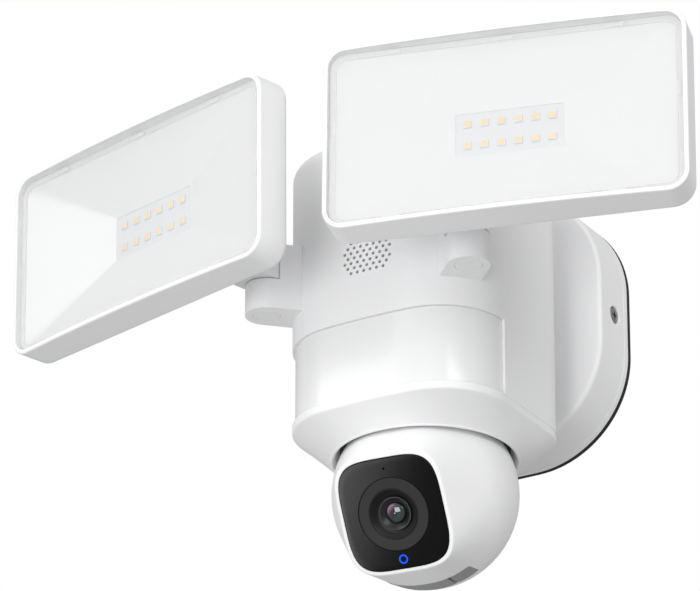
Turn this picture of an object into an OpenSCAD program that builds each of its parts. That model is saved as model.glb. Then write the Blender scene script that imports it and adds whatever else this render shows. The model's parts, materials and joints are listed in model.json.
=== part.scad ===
// Floodlight security camera: a wall canopy carries a body with two swivelling
// LED lamps and a panning, tilting camera ball under it.
// Origin: centre of the canopy on the wall plane. The wall is y = 0, the front is -Y, up is +Z.

/* [Canopy] */
// Half width of the square, round-cornered canopy
canopy_half = 59.8; // [58:0.1:62]
// Corner radius of the canopy
canopy_corner = 45.4; // [38:0.1:50]
// Distance from the wall to the canopy's front edge
canopy_depth = 27.2; // [26:0.1:29]
// Thickness of the foam wall gasket
gasket_t = 2.4; // [1.5:0.1:3]
// Distance between the two box screws
box_screw_pitch = 88.9; // [84:0.1:90]
// Width of the bracket's slots
box_slot_w = 5; // [4.5:0.1:5.5]
// End-to-end length of the bracket's slots
box_slot_len = 15; // [10:0.5:16]
// Distance from the wall to the canopy's side screws
side_screw_y = 14; // [12:0.1:15]

/* [Body] */
// Half width of the body
body_half = 49.2; // [48:0.1:50]
// Distance from the wall to the middle of the body's front
body_front = 124.85; // [124:0.1:126]
// Distance from the wall to the body's back
body_back = 34.7; // [34:0.1:36]
// Height of the body's top above the canopy centre
body_top = 56; // [54:0.5:60]
// Depth of the seam between body and bottom collar
seam_z = 65; // [64.5:0.1:65.5]
// Radius of the slight bow across the body's front
front_bow_r = 256; // [240:1:280]
// Radius of the body's front corners
front_corner_r = 31; // [30.5:0.1:31.5]
// Radius of the body's rear corners
rear_corner_r = 20; // [16:0.5:22]
// Wall thickness of the body shells
wall = 2.2; // [2:0.1:2.6]

/* [Sensor window] */
// Depth of the window's top edge
window_top = 30.6; // [30:0.1:32]
// Step from the body's surface down to the window
window_inset = 1.3; // [1:0.1:1.5]
// Thickness of the window
window_t = 1.7; // [1.5:0.1:2]

/* [Collar and ball] */
// Distance from the wall to the pan axis
pan_y = 74.6; // [74:0.1:75]
// Depth of the ball's centre
ball_z = 93.45; // [93:0.05:94]
// Radius of the ball
ball_r = 39.5; // [39:0.1:40]
// Gap between the ball and its recess
ball_gap = 2; // [1.6:0.1:2.2]
// Depth of the collar's bottom lip
lip_z = 78.35; // [78:0.05:79]
// Turn of the head away from straight ahead
rest_pan = 6.3; // [0:0.1:10]
// Downward tilt of the face
rest_tilt = 31.5; // [28:0.1:35]

/* [Face] */
// Distance from the ball's centre to the face
face_p = 39.2; // [38.8:0.1:39.6]
// Half width of the black face plate
face_half_w = 22.5; // [22:0.1:23]
// Half height of the black face plate
face_half_h = 23.6; // [23:0.1:24]
// Corner radius of the black face plate
face_corner = 13.3; // [12:0.1:15]
// Radius of the grey ring round the lens
ring_r = 15.45; // [15:0.05:16]
// Radius of the black recess round the lens
hood_r = 10.7; // [10:0.1:11.5]
// Radius of the lens barrel
barrel_r = 7.3; // [7:0.1:7.6]

/* [Lamps] */
// Width of a lamp's diffuser
diffuser_w = 149.4; // [148:0.1:151]
// Height of a lamp's diffuser
diffuser_h = 80.7; // [80:0.1:82]
// Width of the rim round the diffuser
bezel = 2; // [1.6:0.1:2.4]
// How far the middle of the diffuser stands ahead of its sides
lamp_bow = 2.7; // [2:0.1:3]
// Depth of a lamp's housing
lamp_depth = 17; // [16:0.5:18]
// Outward swivel of the right lamp
right_swivel = 15.8; // [12:0.1:20]
// Outward swivel of the left lamp
left_swivel = 14.4; // [12:0.1:20]
// Downward tilt of the right lamp
right_tilt = -2; // [-3:0.1:3]
// Downward tilt of the left lamp
left_tilt = 0.6; // [-3:0.1:3]

/* [Knuckles] */
// Distance of a swivel pin from the middle
pivot_x = 49.1; // [48.8:0.1:49.4]
// Distance from the wall to the swivel pins
pivot_y = 123; // [122.5:0.1:123.5]
// Half width of a knuckle
knuckle_half = 9.2; // [9:0.1:9.4]
// Depth of a knuckle's underside
knuckle_bottom = -17.9; // [-18.5:0.1:-17]
// Height of the knuckle's shelf
shelf_z = -4.3; // [-5:0.1:-4]
// Height of the knuckle's upright
knuckle_top = 12.1; // [11.5:0.1:13]

/* [Hidden] */
$fn = 64;
eps = 0.01;
run_gap = 0.05;      // radial running clearance of a pin or shaft
air = 0.4;           // clearance between bodies that move past each other

// Lamp geometry, in the foot's frame: origin on the swivel pin, -Y forward
lamp_side = 27.6;        // outward offset of the lamp's middle from its foot
lamp_fwd = 51.6;         // swivel pin to the plane of the diffuser's side edges
lamp_z = 21.5;           // height of the lamp's middle
hinge_back = 28.5;       // tilt pin behind the plane of the diffuser's side edges
hinge_fwd = lamp_fwd - hinge_back;
hinge_z = 3.5;
hinge_pin_r = 2.5;
barrel_arm_r = 8;        // foot's hinge barrel
ear_r = 9;
ear_t = 3;
ear_x = knuckle_half + air;
arm_bottom = shelf_z + air;
arm_top = 2 * hinge_z - arm_bottom;
lamp_bow_r = (pow(diffuser_w / 2, 2) + pow(lamp_bow, 2)) / (2 * lamp_bow);
lamp_r = 9.5;            // outer corner radius of the lamp
pin_r = 3;
pin_seat_z = -9.9;
plug_r = 5.9;
plug_t = 2;
swivel_notch_r = knuckle_half + 0.6;

// Body outline
front_cy = -body_front + front_bow_r;
corner_x = (front_bow_r - front_corner_r) * sin(asin((body_half - front_corner_r)
    / (front_bow_r - front_corner_r)));
corner_y = front_cy - sqrt(pow(front_bow_r - front_corner_r, 2) - pow(corner_x, 2));
bow_a = asin(corner_x / (front_bow_r - front_corner_r));
top_round = 8;
wire_way_r = 12.05;      // hole for the grommet that leads the wires into the body
cover_y = -46;           // joint between front shell and rear cover

// Collar
collar_band = 3.5;
lip_r = 38.7;
lip_w = 1.5;
recess_r = ball_r + ball_gap;
cup_t = 1.8;
cup_edge_z = -73;
cup_neck_r = 29;         // straight part of the recess above the ball
cup_ceiling_z = -50.4;

// Ball
ball_wall = 2.2;
ball_split = 16;         // rear shell starts this far behind the centre
nose_w = face_half_w + 1.5;
nose_h = face_half_h + 1.5;
nose_r = face_corner + 1.5;
nose_p = face_p - 0.5;
arm_in = 22.5;           // yoke arm's inner face
arm_out = 26;
arm_half = 4;
slot_half = 27.5;        // half width of the ball's top opening
slot_front = 15.5;       // opening's angles from the top towards the rear
slot_rear = 90.5;
axle_r = 3;
axle_end = ball_r - ball_wall - 0.2;
lens_z = -0.4;
flap_angle = 67;         // flap below the face's axis
flap_half = 5.6;
flap_end = 19.5;
flap_gap = 9.7;
flap_t = 2;

// Gears
gear_m = 0.8;
pan_teeth = 48;
tilt_teeth = 40;
pinion_teeth = 12;
pressure = 20;
backlash = 0.16;
function pitch_r(n) = gear_m * n / 2;
pan_centres = pitch_r(pan_teeth) + pitch_r(pinion_teeth) + 0.1;
tilt_centres = pitch_r(tilt_teeth) + pitch_r(pinion_teeth) + 0.1;
pan_gear_z = -46.5;
gear_t = 4;
tilt_gear_x = -21.5;
tilt_gear_t = 3.4;
motor_plate_half = 5.5;  // plate on the yoke that carries the tilt motor
motor_plate_x = tilt_gear_x + gear_t + 0.8;
motor_shaft_r = 1.5;

// ---- helpers ----
function arc(cx, cy, r, a0, a1, n) =
    [for (i = [0:n]) [cx + r * cos(a0 + (a1 - a0) * i / n), cy + r * sin(a0 + (a1 - a0) * i / n)]];

// Body outline moved inwards by e: a bowed front, round corners and straight sides
function body_outline(e) = concat(
    arc(0, front_cy, front_bow_r - e, -90 - bow_a, -90 + bow_a, 8),
    arc(corner_x, corner_y, front_corner_r - e, -90 + bow_a, 0, 20),
    arc(body_half - rear_corner_r, -body_back - rear_corner_r, rear_corner_r - e, 0, 90, 12),
    arc(rear_corner_r - body_half, -body_back - rear_corner_r, rear_corner_r - e, 90, 180, 12),
    arc(-corner_x, corner_y, front_corner_r - e, 180, 270 - bow_a, 20));

module body_slice(z, h, e) translate([0, 0, z]) linear_extrude(h) polygon(body_outline(e));

// Rounded rectangle with true arcs, half sizes w and h
module round_rect(w, h, r) {
    square([2 * (w - r), 2 * h], center = true);
    square([2 * w, 2 * (h - r)], center = true);
    for (sx = [-1, 1], sy = [-1, 1]) translate([sx * (w - r), sy * (h - r)]) circle(r);
}

// Extrudes an outline drawn in X and Z from y0 towards the front by t
module front_slab(y0, t) translate([0, y0, 0]) rotate([90, 0, 0]) linear_extrude(t) children();

module canopy_square(e) round_rect(canopy_half - e, canopy_half - e, canopy_corner - e);
module canopy_slice(y0, t, e) front_slab(y0, t) canopy_square(e);

module x_rod(x0, x1, r) translate([x0, 0, 0]) rotate([0, 90, 0]) cylinder(r = r, h = x1 - x0);

// Places of the moving parts
module on_pivot(s) translate([s * pivot_x, -pivot_y, 0]) children();
module foot_frame(s, swivel) on_pivot(s) rotate([0, 0, s * swivel]) children();
module hinge_frame(s, swivel) foot_frame(s, swivel) translate([0, -hinge_fwd, hinge_z]) children();
module lamp_frame(s, swivel, tilt) hinge_frame(s, swivel) rotate([tilt, 0, 0])
    translate([s * lamp_side, -hinge_back, lamp_z - hinge_z]) children();
module pan_frame() translate([0, -pan_y, -ball_z]) rotate([0, 0, rest_pan]) children();
module ball_frame() pan_frame() rotate([rest_tilt, 0, 0]) children();

// ---- involute gear, with a tooth centred on +X ----
function inv_deg(r, rb) = let (a = acos(min(1, rb / r))) tan(a) * 180 / PI - a;
function tooth_half(r, n) = let (rp = pitch_r(n), rb = rp * cos(pressure))
    (90 / n) - backlash / 2 / rp * 180 / PI + inv_deg(rp, rb) - inv_deg(max(r, rb), rb);
function tooth_radii(n) = let (rp = pitch_r(n), r0 = rp - 1.25 * gear_m, r1 = rp + 0.95 * gear_m,
    rb = rp * cos(pressure), rs = max(r0, rb))
    concat([r0], [for (i = [0:4]) rs + (r1 - rs) * max(i, 0.05) / 4]);
function tooth(n, k) = let (rr = tooth_radii(n), a0 = 360 * k / n, m = len(rr) - 1) concat(
    [for (i = [0:m]) rr[i] * [cos(a0 - tooth_half(rr[i], n)), sin(a0 - tooth_half(rr[i], n))]],
    [for (i = [m:-1:0]) rr[i] * [cos(a0 + tooth_half(rr[i], n)), sin(a0 + tooth_half(rr[i], n))]]);
module gear_outline(n) polygon([for (k = [0:n - 1]) each tooth(n, k)]);

// ---- canopy ----
module wall_gasket() color("#1a1a1c") difference() {
    canopy_slice(0, gasket_t, 0);
    canopy_slice(1, gasket_t + 2, 4.6);
}

module bracket_tab(s) {
    translate([s > 0 ? 52 : -54, -18.5, -7]) cube([2, 18.5, 14]);
}

module mounting_bracket() color("#b8bcc0") difference() {
    union() {
        front_slab(0, 2) round_rect(54, 17, 3);
        bracket_tab(-1);
        bracket_tab(1);
    }
    for (s = [-1, 1]) translate([s * box_screw_pitch / 2, 0, 0]) front_slab(1, 4)
        for (k = [-1, 1]) {
            translate([k * (box_slot_len - box_slot_w) / 2, 0]) circle(box_slot_w / 2);
            square([box_slot_len - box_slot_w, box_slot_w], center = true);
        }
    front_slab(1, 4) circle(11);
    translate([24, 0, 0]) front_slab(1, 4) circle(2);
    translate([0, -side_screw_y, 0]) x_rod(-60, 60, 2);
}

module ground_screw() color("#2f8a4a") translate([24, 0, 0]) {
    front_slab(-2, 3) circle(4, $fn = 6);
    front_slab(1.5 - 2, 1.5) circle(2);
}

module canopy_base() color("#f4f4f4") difference() {
    union() {
        canopy_slice(-gasket_t, 3.6, 0);
        canopy_slice(-gasket_t - 3.6, 4, 2.8);
    }
    canopy_slice(0, 20, 4.4);
}

module canopy_shell() color("#f7f7f7") difference() {
    union() {
        canopy_slice(-gasket_t - 3.6, canopy_depth - gasket_t - 3.6 - 2, 0);
        hull() {
            canopy_slice(2 - canopy_depth, 0.1, 0);
            canopy_slice(0.8 - canopy_depth, 0.1, 0.4);
            canopy_slice(0.2 - canopy_depth, 0.1, 1.1);
            canopy_slice(-canopy_depth, 0.1, 2.4);
            canopy_slice(-canopy_depth - 0.7, 0.1, 14);
            canopy_slice(-canopy_depth - 1, 0.1, 30);
        }
    }
    canopy_slice(0, canopy_depth - 2.8, 2.6);
    front_slab(-20, 20) circle(wire_way_r);
    for (s = [-1, 1]) translate([0, -side_screw_y, 0]) {
        x_rod(s > 0 ? 50 : -70, s > 0 ? 70 : -50, 2.2);
        x_rod(s > 0 ? canopy_half - 1.9 : -70, s > 0 ? 70 : 1.9 - canopy_half, 3.9);
    }
}

module canopy_side_screws() color("#8a8c90") for (s = [-1, 1])
    translate([0, -side_screw_y, 0]) rotate([0, 0, s > 0 ? 0 : 180]) difference() {
        union() {
            x_rod(50, canopy_half - 1.5, 2);
            x_rod(canopy_half - 1.9, canopy_half - 0.2, 3.5);
        }
        translate([canopy_half - 0.9, 0, 0]) {
            translate([0, -0.45, -1.9]) cube([2, 0.9, 3.8]);
            translate([0, -1.9, -0.45]) cube([2, 3.8, 0.9]);
        }
    }

module supply_connector() color("#e8e4d8") translate([-26, -16.2, -24]) difference() {
    cube([20, 10, 12]);
    for (i = [0:2]) translate([4 + 6 * i, 11, 6]) rotate([90, 0, 0]) cylinder(r = 1.6, h = 8);
}

module wire_grommet() color("#2a2a2c") difference() {
    union() {
        front_slab(-23.2, 1.2) circle(14);
        front_slab(-24.4, 12.6) circle(12);
    }
    front_slab(-22, 20) circle(8);
}

module power_board() color("#1f5a3c") difference() {
    front_slab(-16.2, 1.6) round_rect(38, 40, 3);
    front_slab(-16, 4) circle(13);
}

module transformer() color("#d8b84a") translate([14, -16.2, 14]) cube([20, 8, 22]);

module capacitors() color("#2c3550") for (i = [0:1]) translate([-18, -16.2, 20 + 12 * i])
    rotate([-90, 0, 0]) cylinder(r = 4.6, h = 9);

// ---- body ----
module body_neck() color("#f2f2f2") difference() {
    front_slab(-canopy_depth - 1.1, body_back - canopy_depth - 1.1) round_rect(30, 36, 8);
    front_slab(0, 60) round_rect(27, 33, 5);
}

module body_solid(e, z0) {
    body_slice(z0, body_top - top_round - z0, e);
    hull() for (k = [0:5]) let (a = 18 * k)
        body_slice(body_top - top_round + (top_round - e) * sin(a) - eps, eps,
            e + (top_round - e) * (1 - cos(a)));
}

module window_band(e0, e1, z0, z1, y1) intersection() {
    difference() {
        body_slice(z0, z1 - z0, e0);
        body_slice(z0 - 1, z1 - z0 + 2, e1);
    }
    translate([-60, -140, z0 - 1]) cube([120, 140 + y1, z1 - z0 + 2]);
}

grille = [1.2, -2];       // speaker grille centre across and up
module grille_holes() for (row = [0:6]) let (n = [6, 7, 8, 7, 8, 7, 6][row])
    for (i = [0:n - 1]) translate([grille[0] + 3.1 * (i - (n - 1) / 2), 0, grille[1] + 2.3 * (row - 3)])
        front_slab(-110, 20) circle(0.75, $fn = 16);

module body_front_shell() color("#f7f7f7") difference() {
    body_solid(0, -seam_z);
    body_solid(wall, -seam_z - 1);
    translate([-60, cover_y, -80]) cube([120, 40, 160]);
    translate([0, 0, -seam_z - 1]) linear_extrude(seam_z + 1 - window_top + eps) intersection() {
        polygon(body_outline(-2));
        translate([-60, -140]) square([120, 140 + corner_y]);
    }
    window_band(window_inset - 0.05, 4, -seam_z - 1, -window_top + 2.2, corner_y + 3);
    grille_holes();
    for (s = [-1, 1]) translate([s * 36, -108, 2]) rotate([0, 0, -s * 45])
        rotate([90, 0, 0]) cylinder(r = 3, h = 20);
}

module body_rear_cover() color("#f2f2f2") difference() {
    intersection() {
        body_solid(0, -seam_z);
        translate([-60, cover_y, -80]) cube([120, 40, 160]);
    }
    intersection() {
        body_solid(wall, -seam_z + wall);
        translate([-60, cover_y - 1, -80]) cube([120, 40, 160]);
    }
    front_slab(0, 60) circle(wire_way_r);
    cup_space();
}

module sensor_window() color("#eceded")
    window_band(window_inset, window_inset + window_t, -seam_z, -window_top + 2, corner_y);

sensor_y = -108;
module sensor_board() color("#1f5a3c") translate([-34, sensor_y, -61]) cube([68, 1.6, 26]);

module motion_sensors() color("#c9a24a") for (i = [-1:1]) translate([22 * i, sensor_y, -47])
    rotate([90, 0, 0]) {
        cylinder(r = 4.6, h = 4.2);
        cylinder(r = 5.4, h = 0.8);
    }

module speaker() color("#3a3a3c") translate([grille[0], -121.2, grille[1]]) rotate([-90, 0, 0])
    difference() {
        union() {
            cylinder(r = 14, h = 2.5);
            translate([0, 0, 2.5]) cylinder(r = 11, h = 3);
            translate([0, 0, 5.5]) cylinder(r = 8, h = 4);
        }
        translate([0, 0, -eps]) cylinder(r = 11.5, h = 1.4);
    }

module speaker_mesh() color("#55575a") translate([grille[0], -122.1, grille[1]])
    rotate([-90, 0, 0]) cylinder(r = 13.5, h = 0.6);

module main_board() color("#1f5a3c") {
    translate([-40, -98, -26]) cube([80, 1.6, 70]);
    for (s = [-1, 1]) translate([s * 20 - 11, -101, 8]) cube([22, 3, 20]);
}

// ---- collar and recess ----
module collar_form(e) hull() {
    body_slice(-seam_z - collar_band, collar_band, e);
    body_slice(-seam_z - collar_band - 0.9, 0.1, e + 0.35);
    body_slice(-seam_z - collar_band - 1.8, 0.1, e + 1.5);
    translate([0, -pan_y, -lip_z]) cylinder(r = lip_r + lip_w - 0.4, h = 0.1, $fn = 64);
    translate([0, -pan_y, -lip_z + 0.5]) cylinder(r = lip_r + lip_w, h = 0.1, $fn = 64);
}

module bottom_collar() color("#f4f4f4") difference() {
    collar_form(0);
    translate([0, -pan_y, -ball_z]) sphere(recess_r);
    body_slice(-seam_z - collar_band + 0.8, 10, 3);
    cup_space();
}

module recess_cup() color("#8c8e92") difference() {
    recess_form(cup_t);
    recess_form(0);
    translate([0, -pan_y, -150]) cylinder(r = 120, h = 150 + cup_edge_z);
    translate([0, -pan_y, -60]) cylinder(r = 6 + run_gap, h = 60);
}

// Recess grown by t: part of a sphere round the ball, and a straight neck above it
module recess_form(t) translate([0, -pan_y, 0]) {
    translate([0, 0, -ball_z]) sphere(recess_r + t);
    translate([0, 0, cup_edge_z]) cylinder(r = cup_neck_r + t, h = cup_ceiling_z - cup_edge_z + t);
}

// Room for the cup in its neighbours
module cup_space() intersection() {
    recess_form(cup_t + run_gap);
    translate([-60, -pan_y - 60, cup_edge_z - run_gap]) cube([120, 120, 60]);
}

// Motor: a can with a square flange and a round boss, output towards -Z
module motor_can(r, h) {
    cylinder(r = r, h = h);
    translate([-r - 3, -3.5, 0]) cube([2 * r + 6, 7, 1]);
}

module pan_motor() color("#b4b8bc") translate([0, -pan_y + pan_centres, pan_gear_z + gear_t + 1])
    difference() {
        motor_can(9.5, 15);
        translate([0, 0, -1]) cylinder(r = motor_shaft_r + run_gap, h = 8);
    }

module pan_pinion() color("#e9e2cf") translate([0, -pan_y + pan_centres, pan_gear_z])
    rotate([0, 0, 90 + 180 / pinion_teeth]) {
        linear_extrude(gear_t) gear_outline(pinion_teeth);
        translate([0, 0, gear_t]) cylinder(r = motor_shaft_r, h = 6);
    }

module pan_gear() color("#e9e2cf") translate([0, -pan_y, pan_gear_z]) difference() {
    rotate([0, 0, 90]) linear_extrude(gear_t) gear_outline(pan_teeth);
    translate([0, 0, -1]) cylinder(r = 4, h = 10);
}

yoke_top = ball_r + 2.4;
module pan_yoke() color("#6b6e72") pan_frame() {
    difference() {
        union() {
            cylinder_at(0, yoke_top - 2.6, arm_out + 1, 2.6);
            for (s = [-1, 1]) translate([s > 0 ? arm_in : -arm_out, -arm_half, 0])
                cube([arm_out - arm_in, 2 * arm_half, yoke_top - 1]);
            for (s = [-1, 1]) x_rod(s > 0 ? arm_in : -arm_out, s > 0 ? arm_out : -arm_in, 6);
            cylinder_at(0, yoke_top - eps, 6, ball_z - yoke_top + pan_gear_z);
            cylinder_at(0, yoke_top, 4, ball_z - yoke_top + pan_gear_z + gear_t);
            translate([motor_plate_x, -motor_plate_half, tilt_centres])
                cube([1.6, 2 * motor_plate_half, yoke_top - tilt_centres - 1]);
        }
        x_rod(-40, 40, axle_r + run_gap);
        translate([0, 0, tilt_centres]) x_rod(tilt_gear_x, 0, motor_shaft_r + run_gap);
        cylinder_at(0, yoke_top - 10, 2, 60);
    }
}
module cylinder_at(x, z, r, h) translate([x, 0, z]) cylinder(r = r, h = h);

module tilt_motor() color("#b4b8bc") pan_frame()
    translate([motor_plate_x + 1.6, 0, tilt_centres]) rotate([0, 90, 0]) difference() {
        cylinder(r = 7, h = 14);
        translate([0, 0, -1]) cylinder(r = motor_shaft_r + run_gap, h = 6);
    }

module tilt_pinion() color("#e9e2cf") pan_frame() translate([tilt_gear_x, 0, tilt_centres])
    rotate([0, 90, 0]) rotate([0, 0, 180 / pinion_teeth]) {
        linear_extrude(tilt_gear_t) gear_outline(pinion_teeth);
        translate([0, 0, tilt_gear_t]) cylinder(r = motor_shaft_r, h = 5);
    }

module tilt_gear() color("#e9e2cf") pan_frame() translate([tilt_gear_x, 0, 0]) rotate([0, 90, 0])
    rotate([0, 0, 180]) difference() {
        linear_extrude(tilt_gear_t) gear_outline(tilt_teeth);
        translate([0, 0, -1]) cylinder(r = axle_r, h = 8);
    }

// ---- ball ----
module tilt_axles() color("#b4b8bc") ball_frame() {
    x_rod(-axle_end, tilt_gear_x + tilt_gear_t, axle_r);
    x_rod(arm_in - 2, axle_end, axle_r);
}

module face_rect(w, h, r, y, t) translate([0, y, 0]) rotate([90, 0, 0]) linear_extrude(t)
    round_rect(w, h, r);

module ball_form(r, nose_e) hull() {
    sphere(r, $fn = 72);
    face_rect(nose_w - nose_e, nose_h - nose_e, nose_r - nose_e, -nose_p + 0.8 + nose_e, 0.1);
    face_rect(nose_w - nose_e - 0.5, nose_h - nose_e - 0.5, nose_r - nose_e - 0.5,
        -nose_p + 0.1 + nose_e, 0.1);
}

// Opening in the top that lets the yoke's arms in over the whole tilt
module top_opening() translate([-slot_half, 0, 0]) rotate([90, 0, 90])
    linear_extrude(2 * slot_half) polygon(concat([[0, 0]], arc(0, 0, 60, 90 - slot_rear,
        90 - slot_front, 12)));

module flap_cut(x0, x1, grow) rotate([flap_angle, 0, 0]) translate([0, -ball_r, 0])
    rotate([90, 0, 0]) translate([0, 0, -8]) linear_extrude(14)
        translate([(x0 + x1) / 2, 0]) round_rect((x1 - x0) / 2 + grow, flap_half + grow, 1.6);

module ball_front_shell() color("#f7f7f7") ball_frame() difference() {
    ball_form(ball_r, 0);
    ball_form(ball_r - ball_wall, ball_wall);
    translate([-60, ball_split, -60]) cube([120, 60, 120]);
    face_rect(face_half_w, face_half_h, face_corner, -nose_p + 8, 20);
    top_opening();
    flap_cut(-flap_end, flap_end, 0.1);
}

module ball_rear_shell() color("#f4f4f4") ball_frame() difference() {
    sphere(ball_r);
    sphere(ball_r - ball_wall);
    translate([-60, ball_split - 60, -60]) cube([120, 60, 120]);
    top_opening();
}

module face_plate() color("#0e0e10") ball_frame() difference() {
    face_rect(face_half_w - 0.05, face_half_h - 0.05, face_corner, -face_p + 2.2, 2.2);
    translate([0, 0, lens_z]) rotate([90, 0, 0]) cylinder(r = ring_r, h = 60);
    translate([0, 0, -19.5]) rotate([90, 0, 0]) cylinder(r = 1.9, h = 60);
    translate([0, 0, 19]) rotate([90, 0, 0]) cylinder(r = 0.5, h = 60, $fn = 16);
}

module on_face(z, y) translate([0, -face_p + y, z]) rotate([90, 0, 0]) children();

module lens_ring() color("#2b2b2d") ball_frame() on_face(lens_z, 2.2) difference() {
    cylinder(r = ring_r - 0.05, h = 2.3);
    translate([0, 0, -1]) cylinder(r = hood_r, h = 5);
}

module lens_hood() color("#101012") ball_frame() on_face(lens_z, 4) difference() {
    cylinder(r = hood_r - 0.05, h = 3.4);
    translate([0, 0, 1.6]) cylinder(r1 = barrel_r + 1, r2 = hood_r - 0.7, h = 1.9);
    translate([0, 0, -1]) cylinder(r = barrel_r, h = 5);
}

module lens_barrel() color("#1c1c1e") ball_frame() on_face(lens_z, 18) difference() {
    cylinder(r = barrel_r - 0.05, h = 17.8);
    translate([0, 0, 16.4]) cylinder(r1 = 4.4, r2 = 6.4, h = 1.5);
    translate([0, 0, 2]) cylinder(r = 4.2, h = 20);
}

module lens_glass() color("#2a3050") ball_frame() on_face(lens_z, 4.6) intersection() {
    cylinder(r = 4.15, h = 6);
    translate([0, 0, -5]) sphere(8.2);
}

module image_board() color("#1f5a3c") ball_frame() translate([-17, -21.2, -16]) cube([34, 1.6, 32]);

module status_ring() color("#2a6cff") ball_frame() on_face(-19.5, 1.6) difference() {
    cylinder(r = 1.85, h = 1.6);
    translate([0, 0, -1]) cylinder(r = 1.3, h = 4);
}

module ball_skin(r0, r1) difference() {
    sphere(r1, $fn = 96);
    sphere(r0, $fn = 96);
}

module storage_flap() color("#9a9c9f") ball_frame() intersection() {
    ball_skin(ball_r - flap_t, ball_r + 0.15);
    flap_cut(-flap_end, flap_gap - 0.5, 0);
}

module sync_button() color("#9a9c9f") ball_frame() intersection() {
    ball_skin(ball_r - flap_t, ball_r + 0.15);
    flap_cut(flap_gap + 0.5, flap_end, 0);
}

// ---- knuckles ----
module knuckle(s) color("#f2f2f2") difference() {
    on_pivot(s) rotate([0, 0, s * 45]) difference() {
        translate([0, 0, knuckle_bottom]) linear_extrude(knuckle_top - knuckle_bottom) {
            circle(knuckle_half);
            translate([-knuckle_half, 0]) square([2 * knuckle_half, 16]);
        }
        translate([0, 0, shelf_z]) linear_extrude(30) {
            circle(swivel_notch_r);
            translate([-20, -30]) square([40, 30]);
        }
        translate([0, 0, knuckle_bottom - 1]) cylinder(r = pin_r + run_gap, h = 30);
        translate([0, 0, knuckle_bottom - 1]) cylinder(r = plug_r + run_gap, h = pin_seat_z - knuckle_bottom + 1);
    }
    translate([s * corner_x, corner_y, -40]) cylinder(r = front_corner_r, h = 80, $fn = 96);
}
module left_knuckle() knuckle(-1);
module right_knuckle() knuckle(1);

module knuckle_plugs() color("#ededee") for (s = [-1, 1]) on_pivot(s)
    translate([0, 0, knuckle_bottom]) cylinder(r = plug_r, h = plug_t);

module swivel_pins() color("#9a9ca0") for (s = [-1, 1]) on_pivot(s) {
    translate([0, 0, pin_seat_z - 3.5]) cylinder(r = 4.9, h = 3.5);
    translate([0, 0, pin_seat_z - eps]) cylinder(r = pin_r, h = 15);
}

// ---- lamps ----
module foot(s, swivel) color("#f0f0f0") foot_frame(s, swivel) difference() {
    union() {
        translate([0, 0, arm_bottom]) cylinder(r = knuckle_half, h = arm_top - arm_bottom);
        translate([-knuckle_half, -hinge_fwd, arm_bottom]) cube([2 * knuckle_half, hinge_fwd,
            arm_top - arm_bottom]);
        translate([0, -hinge_fwd, hinge_z]) x_rod(-knuckle_half, knuckle_half, barrel_arm_r);
    }
    translate([0, 0, arm_bottom - 1]) cylinder(r = pin_r + run_gap, h = pin_seat_z + 16 - arm_bottom);
    translate([0, -hinge_fwd, hinge_z]) x_rod(-20, 20, hinge_pin_r + run_gap);
}

module hinge_pin(s, swivel) color("#9a9ca0") hinge_frame(s, swivel) {
    x_rod(-ear_x - ear_t - 1.2, ear_x + ear_t + 1.2, hinge_pin_r);
    for (k = [-1, 1]) x_rod(k > 0 ? ear_x + ear_t : -ear_x - ear_t - 1.2,
        k > 0 ? ear_x + ear_t + 1.2 : -ear_x - ear_t, 4.5);
}

module bracket(s, swivel, tilt) color("#f0f0f0") hinge_frame(s, swivel) rotate([tilt, 0, 0]) {
    back = hinge_back - lamp_depth;
    difference() {
        union() {
            for (k = [-1, 1]) translate([k > 0 ? ear_x : -ear_x - ear_t, 0, 0]) {
                x_rod(0, ear_t, ear_r);
                translate([0, -back, -ear_r]) cube([ear_t, back, 2 * ear_r]);
            }
            translate([-ear_x - ear_t, -back, -ear_r]) cube([2 * (ear_x + ear_t), 2.8, 2 * ear_r]);
        }
        x_rod(-30, 30, hinge_pin_r);
    }
}

half_w = diffuser_w / 2 + bezel;
half_h = diffuser_h / 2 + bezel;
// Everything behind the lamp's bowed front, moved back by e
module bowed(e) translate([0, lamp_bow_r - lamp_bow, -60]) cylinder(r = lamp_bow_r - e, h = 120, $fn = 360);

module housing(s, swivel, tilt) color("#f7f7f7") lamp_frame(s, swivel, tilt) difference() {
    union() {
        intersection() {
            face_rect(half_w, half_h, lamp_r, lamp_depth - 3, lamp_depth + 3);
            bowed(0);
        }
        hull() {
            face_rect(half_w, half_h, lamp_r, lamp_depth - 3, 0.1);
            face_rect(half_w - 0.9, half_h - 0.9, lamp_r - 0.9, lamp_depth - 0.9, 0.1);
            face_rect(half_w - 3, half_h - 3, lamp_r - 3, lamp_depth, 0.1);
        }
    }
    face_rect(half_w - bezel, half_h - bezel, lamp_r - bezel, lamp_depth - 2.2, 40);
}

module diffuser(s, swivel, tilt) color("#fafaf8") lamp_frame(s, swivel, tilt) intersection() {
    face_rect(half_w - bezel - 0.05, half_h - bezel - 0.05, lamp_r - bezel, 5, 12);
    difference() {
        bowed(0.4);
        bowed(2.2);
    }
}

module reflector(s, swivel, tilt) color("#fdfdfd") lamp_frame(s, swivel, tilt) difference() {
    hull() {
        face_rect(half_w - bezel - 1, half_h - bezel - 1, 5, 2.9, 0.1);
        face_rect(24.4, 11.4, 1, 11.2, 0.1);
    }
    hull() {
        face_rect(half_w - bezel - 2.4, half_h - bezel - 2.4, 4, 2.9 - 0.4, 0.2);
        face_rect(23, 10, 1, 11.3, 0.1);
    }
}

module led_board(s, swivel, tilt) color("#efe2b8") lamp_frame(s, swivel, tilt) {
    translate([-30, 11.4, -17]) cube([60, 1.6, 34]);
    for (i = [0:5], k = [-1, 1]) translate([7.2 * (i - 2.5) - 1.75, 10.6, 5 * k - 1.75])
        cube([3.5, 0.8, 3.5]);
}

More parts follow.
